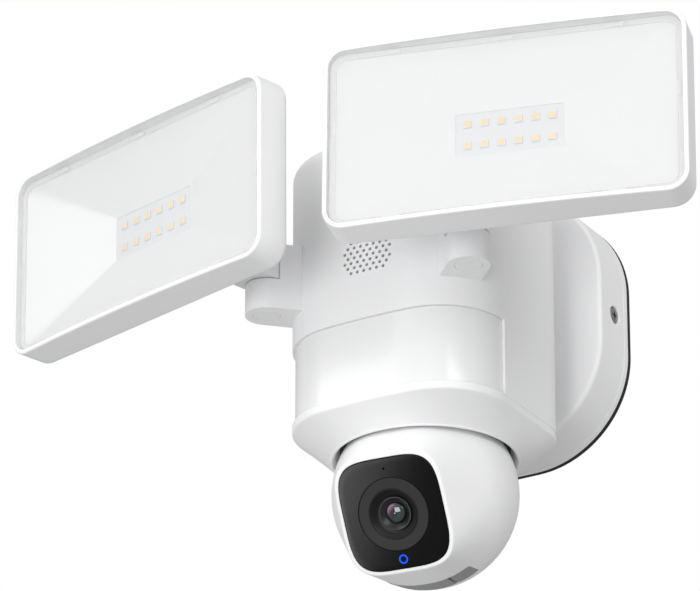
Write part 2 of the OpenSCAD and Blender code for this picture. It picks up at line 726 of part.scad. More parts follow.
module left_foot() foot(-1, left_swivel);
module left_hinge_pin() hinge_pin(-1, left_swivel);
module left_bracket() bracket(-1, left_swivel, left_tilt);
module left_housing() housing(-1, left_swivel, left_tilt);
module left_diffuser() diffuser(-1, left_swivel, left_tilt);
module left_reflector() reflector(-1, left_swivel, left_tilt);
module left_led_board() led_board(-1, left_swivel, left_tilt);
module right_foot() foot(1, right_swivel);
module right_hinge_pin() hinge_pin(1, right_swivel);
module right_bracket() bracket(1, right_swivel, right_tilt);
module right_housing() housing(1, right_swivel, right_tilt);
module right_diffuser() diffuser(1, right_swivel, right_tilt);
module right_reflector() reflector(1, right_swivel, right_tilt);
module right_led_board() led_board(1, right_swivel, right_tilt);

wall_gasket();
mounting_bracket();
ground_screw();
canopy_base();
canopy_shell();
canopy_side_screws();
supply_connector();
wire_grommet();
power_board();
transformer();
capacitors();
body_neck();
body_front_shell();
body_rear_cover();
sensor_window();
motion_sensors();
sensor_board();
speaker();
speaker_mesh();
main_board();
bottom_collar();
recess_cup();
pan_motor();
left_knuckle();
right_knuckle();
knuckle_plugs();
swivel_pins();
pan_pinion();
pan_yoke();
pan_gear();
tilt_motor();
tilt_pinion();
tilt_gear();
tilt_axles();
ball_front_shell();
ball_rear_shell();
face_plate();
lens_ring();
lens_hood();
lens_barrel();
lens_glass();
image_board();
status_ring();
storage_flap();
sync_button();
left_foot();
left_hinge_pin();
left_bracket();
left_housing();
left_diffuser();
left_reflector();
left_led_board();
right_foot();
right_hinge_pin();
right_bracket();
right_housing();
right_diffuser();
right_reflector();
right_led_board();
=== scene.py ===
import json
import math
import bmesh
import bpy
import numpy as np
from mathutils import Matrix, Quaternion, Vector


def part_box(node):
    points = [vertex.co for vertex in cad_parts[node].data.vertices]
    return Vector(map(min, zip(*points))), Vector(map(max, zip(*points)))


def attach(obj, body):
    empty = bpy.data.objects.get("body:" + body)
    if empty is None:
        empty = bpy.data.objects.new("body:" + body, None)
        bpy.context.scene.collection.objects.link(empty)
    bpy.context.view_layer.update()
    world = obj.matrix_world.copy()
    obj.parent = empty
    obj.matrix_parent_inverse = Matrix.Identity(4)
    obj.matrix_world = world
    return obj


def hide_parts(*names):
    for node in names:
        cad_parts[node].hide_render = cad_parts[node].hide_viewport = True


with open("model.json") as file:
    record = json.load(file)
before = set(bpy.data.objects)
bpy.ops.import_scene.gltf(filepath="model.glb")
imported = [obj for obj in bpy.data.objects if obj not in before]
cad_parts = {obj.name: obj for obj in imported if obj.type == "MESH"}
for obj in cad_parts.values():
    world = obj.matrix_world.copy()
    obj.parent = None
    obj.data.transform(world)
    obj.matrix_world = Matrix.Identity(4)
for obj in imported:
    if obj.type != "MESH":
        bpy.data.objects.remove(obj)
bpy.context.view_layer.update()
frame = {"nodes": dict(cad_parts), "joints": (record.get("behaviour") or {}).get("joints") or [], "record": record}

# Floodlight camera: lengths below are millimetres, put into the meshes as metres.
mm = 0.001
joints = {joint["name"]: joint for joint in frame["joints"]}
slotOf = {part["node"]: part["material_slot"] for part in frame["record"]["subparts"]}
bodyOf = {node: body for body, nodes in frame["record"]["behaviour"]["bodies"].items() for node in nodes}


def boxOf(node):
    # lowest and highest corner of a CAD node, in millimetres
    low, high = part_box(node)
    return np.array(low) / mm, np.array(high) / mm


# camera

viewLook = dict(turn=30.77, rise=-24.84, distance=2356.5, aim=(-46.98, -57.7, 17.17), lens=278.74,
                sensor=36.0, near=0.1, far=60.0)


def linked(name, data):
    # an object of the scene that shows the mesh, light or camera given
    made = bpy.data.objects.new(name, data)
    bpy.context.scene.collection.objects.link(made)
    return made


def makeCamera(look):
    # the camera stands at aim + distance * back, where back is the direction given by turn and rise
    turn, rise = math.radians(look["turn"]), math.radians(look["rise"])
    back = Vector((math.sin(turn) * math.cos(rise), -math.cos(turn) * math.cos(rise), math.sin(rise)))
    data = bpy.data.cameras.new("camera")
    data.lens = look["lens"]
    data.sensor_width = look["sensor"]
    data.clip_start = look["near"]
    data.clip_end = look["far"]
    camera = linked("camera", data)
    camera.rotation_mode = "QUATERNION"
    camera.location = (Vector(look["aim"]) + back * look["distance"]) * mm
    camera.rotation_quaternion = (-back).to_track_quat("-Z", "Y")
    bpy.context.scene.camera = camera


makeCamera(viewLook)
print("camera ready")


# mesh helpers

def gridFaces(rows, columns, wrapRows=False, wrapColumns=False):
    # corner numbers of the quads of a grid whose points are numbered row by row
    lastRow = rows if wrapRows else rows - 1
    lastColumn = columns if wrapColumns else columns - 1
    r, c = np.meshgrid(np.arange(lastRow), np.arange(lastColumn), indexing="ij")
    r, c = r.ravel(), c.ravel()
    down, right = (r + 1) % rows, (c + 1) % columns
    return np.stack([r * columns + c, r * columns + right, down * columns + right, down * columns + c], 1)


def sheetOf(points, wrapRows=False, wrapColumns=False, keep=None):
    # a grid of points and its quads, less the quads that keep leaves out
    points = np.asarray(points, float)
    faces = gridFaces(points.shape[0], points.shape[1], wrapRows, wrapColumns)
    if keep is not None:
        faces = faces[keep.ravel()]
    return points.reshape(-1, 3), faces


def stackOf(rings, closeFirst=False, closeLast=False, wrapRows=False):
    # rings of equal count joined one to the next; an end is closed by quads that meet in its middle point
    rings = [np.asarray(ring, float) for ring in rings]
    if closeFirst:
        rings.insert(0, np.repeat(rings[0].mean(0)[None], len(rings[0]), 0))
    if closeLast:
        rings.append(np.repeat(rings[-1].mean(0)[None], len(rings[-1]), 0))
    return sheetOf(np.stack(rings), wrapRows=wrapRows, wrapColumns=True)


def placed(points, place):
    # points turned by the frame's rotation and moved to its origin
    turn, origin = place
    return points @ turn.T + origin


mergeReach = 0.002 * mm  # points nearer than this are one


def meshFrom(name, sheets, place=None):
    # sheets joined into one mesh, with the points that coincide merged and the faces pointing outwards
    counts = np.cumsum([0] + [len(points) for points, faces in sheets])
    points = np.concatenate([points for points, faces in sheets])
    faces = np.concatenate([sheet[1] + start for sheet, start in zip(sheets, counts)])
    if place is not None:
        points = placed(points, place)
    mesh = bpy.data.meshes.new(name)
    mesh.vertices.add(len(points))
    mesh.vertices.foreach_set("co", (points * mm).ravel())
    mesh.loops.add(faces.size)
    mesh.loops.foreach_set("vertex_index", faces.ravel().astype(np.int32))
    mesh.polygons.add(len(faces))
    mesh.polygons.foreach_set("loop_start", np.arange(0, faces.size, 4, dtype=np.int32))
    mesh.update(calc_edges=True)
    mesh.validate()
    work = bmesh.new()
    work.from_mesh(mesh)
    bmesh.ops.remove_doubles(work, verts=work.verts, dist=mergeReach)
    bmesh.ops.dissolve_degenerate(work, edges=work.edges, dist=mergeReach / 2)
    bmesh.ops.recalc_face_normals(work, faces=work.faces)
    work.to_mesh(mesh)
    work.free()
    return mesh


def settle(piece):
    # the mesh as its modifiers leave it, with the modifiers gone
    graph = bpy.context.evaluated_depsgraph_get()
    made = bpy.data.meshes.new_from_object(piece.evaluated_get(graph))
    piece.modifiers.clear()
    piece.data = made


def cut(piece, sheets, place=None):
    # takes the closed form that the sheets make out of the piece
    tool = linked("tool", meshFrom("tool", sheets, place))
    step = piece.modifiers.new("cut", "BOOLEAN")
    step.operation = "DIFFERENCE"
    step.solver = "EXACT"
    step.object = tool
    settle(piece)
    bpy.data.objects.remove(tool)


def thicken(piece, depth, even=True):
    # a wall inwards from a sheet; an even one keeps its thickness round corners
    step = piece.modifiers.new("wall", "SOLIDIFY")
    step.thickness = depth * mm
    step.offset = -1.0
    step.use_even_offset = even
    settle(piece)


def roundEdges(piece, width, angle, steps=2):
    # rounds the edges that are sharper than the angle
    step = piece.modifiers.new("edges", "BEVEL")
    step.width = width * mm
    step.segments = steps
    step.limit_method = "ANGLE"
    step.angle_limit = math.radians(angle)
    step.use_clamp_overlap = True
    settle(piece)


def addPiece(name, mesh, node, material=None, smooth=35.0):
    # a finished piece in a CAD node's stead: with the node's body and slot, its material, and smooth shading
    # between sharp edges
    piece = mesh if isinstance(mesh, bpy.types.Object) else linked(name, mesh)
    piece.name = name
    piece.data.name = name
    piece.data.shade_smooth()
    piece.data.set_sharp_from_angle(angle=math.radians(smooth))
    piece.modifiers.new("normals", "WEIGHTED_NORMAL").keep_sharp = True
    piece.data.materials.clear()
    piece.data.materials.append(material or finishOf(slotOf[node]))
    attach(piece, bodyOf[node])
    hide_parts(node)


def roundRect(halfWidth, halfHeight, radius, arcSteps=12, sideSteps=8):
    # outline of a rounded rectangle: four quarter arcs joined by straight sides, with no point twice
    radius = max(radius, 0.0)
    across, up = halfWidth - radius, halfHeight - radius
    angle = np.linspace(0, math.pi / 2, arcSteps + 1)
    corner = np.stack([np.cos(angle), np.sin(angle)], 1) * radius
    way = np.linspace(0, 1, sideSteps + 1)[1:-1, None]
    line = []
    for turn, (sx, sz) in enumerate([(1, 1), (-1, 1), (-1, -1), (1, -1)]):
        spin = np.array([[math.cos(turn * math.pi / 2), -math.sin(turn * math.pi / 2)],
                         [math.sin(turn * math.pi / 2), math.cos(turn * math.pi / 2)]])
        line.append(corner @ spin.T + [sx * across, sz * up])
    closed = []
    for turn in range(4):
        start, end = line[turn][-1], line[(turn + 1) % 4][0]
        closed += [line[turn], start + (end - start) * way]
    return np.concatenate(closed)


def facing(outline, y):
    # an outline drawn in X and Z, set at depth y, which may be one number or one for each point
    return np.stack([outline[:, 0], np.broadcast_to(y, len(outline)), outline[:, 1]], 1)


def lathe(profile, segments):
    # a profile of (radius, depth) pairs carried round the Y axis; depth grows towards -Y
    profile = np.asarray(profile, float)
    angle = np.linspace(0, 2 * math.pi, segments, endpoint=False)
    radius, depth = profile[:, :1], profile[:, 1:]
    ones = np.ones_like(angle)[None]
    return np.stack([radius * np.cos(angle), -depth * ones, radius * np.sin(angle)], 2)


def solidOf(rings):
    # a stack that is closed at both ends
    return stackOf(rings, closeFirst=True, closeLast=True)


def prismOf(outline, near, far):
    # a closed prism from an outline in X and Z, between two depths along Y
    return solidOf([facing(outline, near), facing(outline, far)])


def arcOf(centre, radius, angle):
    # points at centre + radius (cos a, sin a)
    return np.stack([centre[0] + radius * np.cos(angle), centre[1] + radius * np.sin(angle)], 1)


def circleOf(radius, count, centre=(0.0, 0.0)):
    return arcOf(centre, radius, np.linspace(0, 2 * math.pi, count, endpoint=False))


def roundSteps(radius, count):
    # a quarter round as pairs: how far in, r (1 - cos a), and how far short of the full depth, r (1 - sin a)
    angles = np.linspace(0, math.pi / 2, count)
    return [(radius * (1 - math.cos(a)), radius * (1 - math.sin(a))) for a in angles]


def curveOf(first, pull, last, count):
    # quadratic curve from first to last, drawn towards pull
    return [(1 - t) ** 2 * first + 2 * t * (1 - t) * pull + t ** 2 * last for t in np.linspace(0, 1, count)]


# places of the moving parts, from the frame's joints

def turnAboutX(degrees):
    # rotation about X
    c, s = math.cos(math.radians(degrees)), math.sin(math.radians(degrees))
    return np.array([[1, 0, 0], [0, c, -s], [0, s, c]])


def axisPlace(name, turn, offset=(0.0, 0.0, 0.0)):
    # origin on the joint, X along its axis, then turned about X by turn degrees and moved by offset
    across = np.array(joints[name]["axis"], float)
    up = np.array([0.0, 0.0, 1.0])
    back = np.cross(up, across)
    base = np.stack([across, back / np.linalg.norm(back), up], 1) @ turnAboutX(turn)
    return base, np.array(joints[name]["pos_m"], float) / mm + base @ np.array(offset, float)


headTilt = 31.5
ballPlace = axisPlace("camera_tilt", headTilt)
lampRest = dict(left=(-1, 0.6), right=(1, -2.0))
lampOffset = (27.6, -28.5, 18.0)
lampPlace = {side: axisPlace(side + "_lamp_tilt", tilt, (sign * lampOffset[0], lampOffset[1], lampOffset[2]))
             for side, (sign, tilt) in lampRest.items()}


# materials

def nodesOf(name):
    material = bpy.data.materials.new(name)
    material.use_nodes = True
    return material, material.node_tree, material.node_tree.nodes["Principled BSDF"]


def addNode(tree, kind, fixed=None, fed=None):
    # a node with its fixed inputs set and its fed inputs linked
    made = tree.nodes.new("ShaderNode" + kind)
    feed(tree, made, fixed, fed)
    return made


def feed(tree, made, fixed=None, fed=None):
    # sets the fixed inputs of a node and links the fed ones
    for socket, value in (fixed or {}).items():
        made.inputs[socket].default_value = value
    for socket, source in (fed or {}).items():
        tree.links.new(source, made.inputs[socket])


def objectNoise(tree, scale, detail=2.0, stretch=(1.0, 1.0, 1.0)):
    # noise on Object coordinates, stretched by a Mapping node
    where = addNode(tree, "TexCoord").outputs["Object"]
    mapping = addNode(tree, "Mapping", {"Scale": stretch}, {"Vector": where})
    noise = addNode(tree, "TexNoise", {"Scale": scale, "Detail": detail}, {"Vector": mapping.outputs[0]})
    return noise.outputs["Fac"]


def spread(tree, source, low, high):
    # a factor from 0.3 to 0.7 mapped onto low to high
    ends = {"From Min": 0.3, "From Max": 0.7, "To Min": low, "To Max": high}
    return addNode(tree, "MapRange", ends, {"Value": source}).outputs["Result"]


def ramped(tree, source, stops):
    # colours at places along a factor: stops holds (place, colour) pairs, the lowest first
    ramp = addNode(tree, "ValToRGB", fed={"Fac": source})
    elements = ramp.color_ramp.elements
    for element, (place, colour) in zip(elements, (stops[0], stops[-1])):
        element.position = place
        element.color = (*colour, 1.0)
    for place, colour in stops[1:-1]:
        elements.new(place).color = (*colour, 1.0)
    return ramp.outputs["Color"]


def tint(tree, source, first, second):
    # two colours mixed by a factor
    return ramped(tree, source, [(0.35, first), (0.65, second)])


def bumped(tree, source, depth, strength):
    bump = addNode(tree, "Bump", {"Distance": depth * mm, "Strength": strength}, {"Height": source})
    return bump.outputs["Normal"]


def moulded(name, look):
    # moulded plastic, rubber or paint: faint mottling, fine grain, uneven gloss
    material, tree, shader = nodesOf(name)
    patches = objectNoise(tree, 28.0)
    grain = objectNoise(tree, look.get("grainScale", 2200.0))
    shade, vary, rough = np.array(look["colour"]), look.get("vary", 0.012), look["rough"]
    fixed = {"Specular IOR Level": look.get("shine", 0.5), "Coat Weight": look.get("coat", 0.0),
             "Coat Roughness": look.get("coatRough", 0.05), "Alpha": look.get("alpha", 1.0)}
    if "light" in look:
        fixed["Emission Color"] = (*look["lightColour"], 1.0)
        fixed["Emission Strength"] = look["light"]
    feed(tree, shader, fixed, {
        "Base Color": tint(tree, patches, shade * (1 - vary), np.minimum(shade * (1 + vary), 1)),
        "Roughness": spread(tree, grain, rough * 0.9, rough * 1.1),
        "Normal": bumped(tree, grain, look.get("grainDepth", 0.02), look.get("grainStrength", 0.25))})
    return material


def metal(name, look):
    # turned or plated metal: streaks along one axis and a little tarnish
    material, tree, shader = nodesOf(name)
    streaks = objectNoise(tree, 900.0, 3.0, (1.0, 0.15, 1.0))
    shade, rough = np.array(look["colour"]), look["rough"]
    feed(tree, shader, {"Metallic": 1.0}, {
        "Base Color": tint(tree, streaks, shade * 0.88, shade),
        "Roughness": spread(tree, streaks, rough * 0.8, rough * 1.25),
        "Normal": bumped(tree, streaks, 0.01, 0.3)})
    return material


def boardFinish(name, look):
    # solder mask with a pattern of tracks
    material, tree, shader = nodesOf(name)
    shade = np.array(look["colour"])
    fixed = {"Scale": 260.0, "Mortar Size": 0.03}
    for socket, share in (("Color1", 1.0), ("Color2", 0.9), ("Mortar", 1.5)):
        fixed[socket] = (*(shade * share), 1.0)
    tracks = addNode(tree, "TexBrick", fixed, {"Vector": addNode(tree, "TexCoord").outputs["Object"]})
    feed(tree, shader, {"Roughness": look["rough"]}, {
        "Base Color": tracks.outputs["Color"], "Normal": bumped(tree, tracks.outputs["Fac"], 0.03, 0.4)})
    return material


def wovenFinish(name, look):
    # acoustic cloth: two crossed sets of threads
    material, tree, shader = nodesOf(name)
    both = addNode(tree, "Math")
    both.operation = "MULTIPLY"
    for socket, direction in enumerate("XZ"):
        where = addNode(tree, "TexCoord").outputs["Object"]
        threads = addNode(tree, "TexWave", {"Scale": 700.0}, {"Vector": where})
        threads.bands_direction = direction
        tree.links.new(threads.outputs["Fac"], both.inputs[socket])
    shade, height = np.array(look["colour"]), both.outputs["Value"]
    feed(tree, shader, {"Roughness": look["rough"]}, {
        "Base Color": tint(tree, height, shade * 0.6, shade * 1.2),
        "Normal": bumped(tree, height, 0.1, 0.6)})
    return material


def lensPaintedReflection(name, look):
    # coated glass with painted reflections: across the dome's own UV map the base colour turns from a painted rose
    # reflection of the coating, through the glass's own black, to a painted green reflection
    material, tree, shader = nodesOf(name)
    turn = (0.0, 0.0, math.radians(look["turn"]))
    mapping = addNode(tree, "Mapping", {"Location": look["shift"], "Rotation": turn},
                      {"Vector": addNode(tree, "TexCoord").outputs["UV"]})
    # painted reflection: a gradient across the UV map puts the coating's rose and green reflections into the base
    # colour
    paintedReflectionSweep = addNode(tree, "TexGradient", fed={"Vector": mapping.outputs["Vector"]})
    feed(tree, shader, {"Roughness": 0.04, "Coat Weight": 1.0, "Coat Roughness": 0.02}, {
        "Base Color": ramped(tree, paintedReflectionSweep.outputs["Fac"], look["stops"]),
        "Normal": bumped(tree, objectNoise(tree, 300.0, 3.0), 0.005, 0.05)})
    return material


# a finish is moulded unless its entry names another function
finishes = dict(
    white_plastic=dict(colour=(0.83, 0.832, 0.838), rough=0.46, vary=0.006),
    white_gloss=dict(colour=(0.84, 0.842, 0.846), rough=0.3, vary=0.005, grainStrength=0.08),
    window_gloss=dict(colour=(0.80, 0.802, 0.805), rough=0.22, vary=0.004, grainStrength=0.02,
                      coat=0.4, coatRough=0.1),
    black_foam=dict(colour=(0.012, 0.012, 0.013), rough=0.85, vary=0.2, grainScale=1500.0,
                    grainDepth=0.2, grainStrength=0.8),
    zinc_steel=dict(make=metal, colour=(0.62, 0.63, 0.66), rough=0.38),
    green_steel=dict(colour=(0.03, 0.25, 0.07), rough=0.4, vary=0.1),
    dark_steel=dict(make=metal, colour=(0.32, 0.32, 0.33), rough=0.35),
    cream_plastic=dict(colour=(0.72, 0.68, 0.55), rough=0.5),
    black_rubber=dict(colour=(0.02, 0.02, 0.021), rough=0.75, vary=0.15),
    board_green=dict(make=boardFinish, colour=(0.012, 0.09, 0.04), rough=0.35),
    winding_tape=dict(colour=(0.65, 0.45, 0.06), rough=0.4, vary=0.1),
    sleeve_blue=dict(colour=(0.03, 0.045, 0.12), rough=0.25, vary=0.05),
    sensor_can=dict(make=metal, colour=(0.62, 0.48, 0.22), rough=0.3),
    speaker_black=dict(colour=(0.02, 0.02, 0.022), rough=0.6),
    grey_mesh=dict(make=wovenFinish, colour=(0.16, 0.16, 0.165), rough=0.8),
    recess_grey=dict(colour=(0.22, 0.225, 0.235), rough=0.5, vary=0.03),
    motor_steel=dict(make=metal, colour=(0.56, 0.57, 0.6), rough=0.3),
    gear_nylon=dict(colour=(0.72, 0.7, 0.62), rough=0.5, vary=0.03),
    yoke_grey=dict(colour=(0.09, 0.092, 0.096), rough=0.5, vary=0.05),
    face_black=dict(colour=(0.004, 0.004, 0.0045), rough=0.06, vary=0.1, grainStrength=0.01,
                    shine=0.09),
    ring_grey=dict(colour=(0.022, 0.022, 0.023), rough=0.5, vary=0.06, grainStrength=0.15,
                   shine=0.2),
    hood_black=dict(colour=(0.004, 0.004, 0.004), rough=0.4, vary=0.1, shine=0.3),
    barrel_black=dict(colour=(0.01, 0.01, 0.011), rough=0.3, vary=0.1, grainStrength=0.1,
                      shine=0.4),
    # the lens glass's colour stops are painted reflections: a rose end and a green end round the glass's own near
    # black
    lens_glass=dict(make=lensPaintedReflection, turn=45.0, shift=(0.5, 0.0, 0.0), stops=(
        (0.0, (0.42, 0.33, 0.38)), (0.13, (0.15, 0.09, 0.14)), (0.3, (0.016, 0.01, 0.026)),
        (0.52, (0.005, 0.006, 0.02)), (0.72, (0.013, 0.036, 0.023)), (0.92, (0.004, 0.008, 0.006)))),
    ring_blue=dict(colour=(0.004, 0.03, 0.5), rough=0.4, shine=0.1, light=1.0,
                   lightColour=(0.004, 0.1, 1.0)),
    flap_grey=dict(colour=(0.3, 0.302, 0.306), rough=0.6, vary=0.05, grainDepth=0.04,
                   grainStrength=0.4),
    diffuser_clear=dict(colour=(0.82, 0.822, 0.825), rough=0.22, vary=0.003, grainScale=160.0,
                        grainStrength=0.01, alpha=0.18),
    reflector_white=dict(colour=(0.78, 0.782, 0.785), rough=0.24, vary=0.004, grainScale=160.0,
                         grainStrength=0.02, shine=1.0, coat=0.7, coatRough=0.2),
    led_board=dict(colour=(0.7, 0.72, 0.74), rough=0.4, vary=0.01),
    led_phosphor=dict(colour=(0.95, 0.66, 0.3), rough=0.45, vary=0.06, grainScale=3000.0),
)
finishMade = {}


def finishOf(slot):
    if slot not in finishMade:
        look = finishes[slot]
        finishMade[slot] = look.get("make", moulded)(slot, look)
    return finishMade[slot]


for node, piece in frame["nodes"].items():
    piece.data.materials.clear()
    piece.data.materials.append(finishOf(slotOf[node]))
print("materials on", len(frame["nodes"]), "CAD nodes")


# body shells, window and collar

shellLow, shellHigh = boxOf("body_front_shell")
bodyForm = dict(half=shellHigh[0], front=shellLow[1], joint=shellHigh[1], top=shellHigh[2], seam=shellLow[2],
                back=boxOf("body_rear_cover")[1][1], sill=boxOf("sensor_window")[1][2] - 2.0, bow=256.0,
                frontCorner=31.0, rearCorner=20.0, topRound=8.0, wall=2.2, edge=0.45, lowLevels=(-54, -42),
                highLevels=(-20, -8, 4, 16, 28, 38), coverLevels=(-40, -15, 10, 30))


def halfOutline(form, inset, stop=None):
    # right half of the body's outline from the front's middle: bow, corner arc, straight side, rear arc;
    # it ends where the rear arc reaches depth stop, or runs on along the straight back to the middle
    bowCentre = form["front"] + form["bow"]
    cornerX = form["half"] - form["frontCorner"]
    reach = form["bow"] - form["frontCorner"]
    cornerY = bowCentre - math.sqrt(reach ** 2 - cornerX ** 2)
    bowAngle = math.asin(cornerX / reach)
    rearX, rearY = form["half"] - form["rearCorner"], form["back"] - form["rearCorner"]
    angle = np.linspace(0, bowAngle, 12)
    radius = form["bow"] - inset
    line = [np.stack([radius * np.sin(angle), bowCentre - radius * np.cos(angle)], 1)]
    angle = np.linspace(bowAngle, math.pi / 2, 27)[1:]
    radius = form["frontCorner"] - inset
    line.append(np.stack([cornerX + radius * np.sin(angle), cornerY - radius * np.cos(angle)], 1))
    down = np.linspace(cornerY, rearY, 8)[1:-1]
    line.append(np.stack([np.full(6, form["half"] - inset), down], 1))
    radius = form["rearCorner"] - inset
    last = math.pi / 2 if stop is None else math.asin((stop - rearY) / radius)
    angle = np.linspace(0, last, 12)
    line.append(arcOf((rearX, rearY), radius, angle))
    if stop is None:
        across = np.linspace(rearX, 0, 6)[1:]
        line.append(np.stack([across, np.full(5, form["back"] - inset)], 1))
    return np.concatenate(line), cornerY


def rearOutline(form, inset):
    # the rear cover's outline, from the joint on the right round the back to the joint on the left
    rearX, rearY = form["half"] - form["rearCorner"], form["back"] - form["rearCorner"]
    radius = form["rearCorner"] - inset
    first = math.asin((form["joint"] - rearY) / radius)
    arc = arcOf((rearX, rearY), radius, np.linspace(first, math.pi / 2, 16))
    across = np.linspace(rearX, 0, 6)[1:]
    half = np.concatenate([arc, np.stack([across, np.full(5, form["back"] - inset)], 1)])
    return np.concatenate([half, half[-2::-1] * [-1, 1]])


def frontOutline(form, inset):
    # from the joint on the left round the front to the joint on the right
    half, cornerY = halfOutline(form, inset, form["joint"])
    return np.concatenate([half[:0:-1] * [-1, 1], half])


def atHeight(outline, z):
    return np.stack([outline[:, 0], outline[:, 1], np.full(len(outline), z)], 1)


def shellRows(form, outlineAt, levels):
    # upright rows at the levels, then the rounded top
    rows = [atHeight(outlineAt(form, 0.0), z) for z in levels]
    for inset, short in roundSteps(form["topRound"], 9)[1:]:
        rows.append(atHeight(outlineAt(form, inset), form["top"] - short))
    return np.stack(rows)


def lidOf(rim):
    # flat lid inside an open rim that is the same on both sides: straight lines from left to right
    count = (len(rim) + 1) // 2
    left, right = rim[:count], rim[::-1][:count]
    way = np.linspace(0, 1, 9)[None, :, None]
    return left[:, None] + (right - left)[:, None] * way


def makeBodyShells(form):
    # the front leaves out the band under the sill, where the window stands; the cover closes the back
    seam, sill, shoulder = form["seam"], form["sill"], form["top"] - form["topRound"]
    rows = shellRows(form, frontOutline, [seam, *form["lowLevels"], sill, *form["highLevels"], shoulder])
    cornerY = halfOutline(form, 0.0)[1]
    middle = (rows[:-1, :-1] + rows[1:, 1:]) / 2
    opening = (middle[..., 2] < sill) & (middle[..., 1] < cornerY)
    shell = linked("shell", meshFrom("shell", [sheetOf(rows, keep=~opening), sheetOf(lidOf(rows[-1]))]))
    thicken(shell, form["wall"], False)
    roundEdges(shell, form["edge"], 50.0)
    cut(shell, grilleTools(grille))
    addPiece("front_shell_skin", shell, "body_front_shell")
    rows = shellRows(form, rearOutline, [seam, *form["coverLevels"], shoulder])
    cover = linked("cover", meshFrom("cover", [sheetOf(rows), sheetOf(lidOf(rows[-1]))]))
    thicken(cover, form["wall"], False)
    roundEdges(cover, form["edge"] / 2, 50.0)
    addPiece("rear_cover_skin", cover, "body_rear_cover")


grille = dict(x=1.2, z=-2.0, rows=(6, 7, 8, 7, 8, 7, 6), across=3.1, up=2.3, radius=0.75, sides=20,
              depths=(-130.0, -115.0))


def grilleTools(look):
    # one closed prism for each sound hole, in staggered rows
    tools = []
    for row, count in enumerate(look["rows"]):
        z = look["z"] + look["up"] * (row - (len(look["rows"]) - 1) / 2)
        for i in range(count):
            x = look["x"] + look["across"] * (i - (count - 1) / 2)
            tools.append(prismOf(circleOf(look["radius"], look["sides"], (x, z)), *look["depths"]))
    return tools


windowForm = dict(inset=1.3, thickness=1.7, gap=0.04, edge=0.15)


def makeWindow(form, look):
    # a band of the body's outline, set in, between the corners of the front
    half, cornerY = halfOutline(form, look["inset"], form["joint"])
    half = half[half[:, 1] < cornerY + 0.01]
    line = np.concatenate([half[:0:-1] * [-1, 1], half])
    levels = np.linspace(form["seam"] + look["gap"], form["sill"] - look["gap"], 7)
    window = linked("window", meshFrom("window", [sheetOf(np.stack([atHeight(line, z) for z in levels]))]))
    thicken(window, look["thickness"])
    roundEdges(window, look["edge"], 60.0)
    addPiece("window_skin", window, "sensor_window", finishOf("window_gloss"))


panY = joints["camera_pan"]["pos_m"][1] / mm
ballZ = joints["camera_pan"]["pos_m"][2] / mm
collarForm = dict(band=3.5, wall=3.0, chamfer=0.2, fillet=0.5, lip=38.7, lipWidth=1.5, lipRound=0.75,
                  bottom=boxOf("bottom_collar")[0][2], bore=41.5, points=240)


def polarOutline(form, inset, angle):
    # the body's outline read at given angles round the pan axis
    half = halfOutline(form, inset)[0]
    line = np.concatenate([half, half[-2:0:-1] * [-1, 1]]) - [0, panY]
    turn = np.arctan2(line[:, 1], line[:, 0])
    order = np.argsort(turn)
    radius = np.hypot(line[:, 0], line[:, 1])[order]
    reach = np.interp(angle, turn[order], radius, period=2 * math.pi)
    return arcOf((0, panY), reach, angle)


def makeCollar(form, look):
    # upright band on the body's outline, a small fillet, a slope that turns the outline into a circle,
    # a rounded lip and a bore that is part of a sphere round the ball
    angle = np.linspace(0, 2 * math.pi, look["points"], endpoint=False)
    ring = lambda radius: arcOf((0, panY), radius, angle)
    seam, wall, chamfer, lipRound = form["seam"], look["wall"], look["chamfer"], look["lipRound"]
    outer, lip = polarOutline(form, 0.0, angle), ring(look["lip"] + look["lipWidth"])
    rows = [atHeight(polarOutline(form, inset, angle), seam) for inset in (wall, chamfer)]
    rows.append(atHeight(outer, seam - chamfer))
    lipTop = look["bottom"] + lipRound
    start = atHeight(outer, seam - look["band"])
    slope = atHeight(lip, lipTop) - start
    bend = start + slope * 0.05
    rows.append(start + [0, 0, look["fillet"] + 0.1])
    rows += curveOf(start + [0, 0, look["fillet"]], start, bend, 7)
    for t in (0.06, 0.3, 0.5, 0.7, 0.85, 0.96):
        rows.append(start + slope * t)
    for a in np.linspace(0, math.pi, 9):
        radius = look["lip"] + look["lipWidth"] / 2 * (1 + math.cos(a))
        rows.append(atHeight(ring(radius), lipTop - lipRound * math.sin(a)))
    for z in np.linspace(lipTop + 0.4, seam - 5.0, 6):
        rows.append(atHeight(ring(math.sqrt(look["bore"] ** 2 - (z - ballZ) ** 2)), z))
    rows.append(atHeight(polarOutline(form, wall, angle), seam - 3.4))
    mesh = meshFrom("collar", [stackOf(rows, wrapRows=True)])
    addPiece("collar_skin", mesh, "bottom_collar", smooth=40.0)


makeBodyShells(bodyForm)
makeWindow(bodyForm, windowForm)
makeCollar(bodyForm, collarForm)
print("body ready")


# canopy

canopyForm = dict(half=boxOf("canopy_shell")[1][0], corner=45.4, gasket=2.4, gasketInset=4.6,
                  gasketChamfer=0.3, joint=6.0, baseInset=4.4, chamfer=0.35, front=27.2, crown=1.0, edge=2.0,
                  wall=2.6, screwY=14.0, screwHole=3.9, screwHead=3.5)


def canopyRing(form, inset, depth):
    outline = roundRect(form["half"] - inset, form["half"] - inset, form["corner"] - inset, 28, 6)
    return facing(outline, -depth)


def hoopOf(form, near, far, inset, chamfer):
    # a band between two depths with an outer chamfer on both edges
    steps = ((inset, near), (chamfer, near), (0.0, near + chamfer), (0.0, far - chamfer), (chamfer, far),
             (inset, far))
    return [stackOf([canopyRing(form, *step) for step in steps], wrapRows=True)]


def sidePlace(form, side):
    # frame of a side screw: -Y points out of the canopy's side
    turn = np.array([[0, -side, 0], [side, 0, 0], [0, 0, 1.0]])
    return turn, np.array([side * form["half"], -form["screwY"], 0])


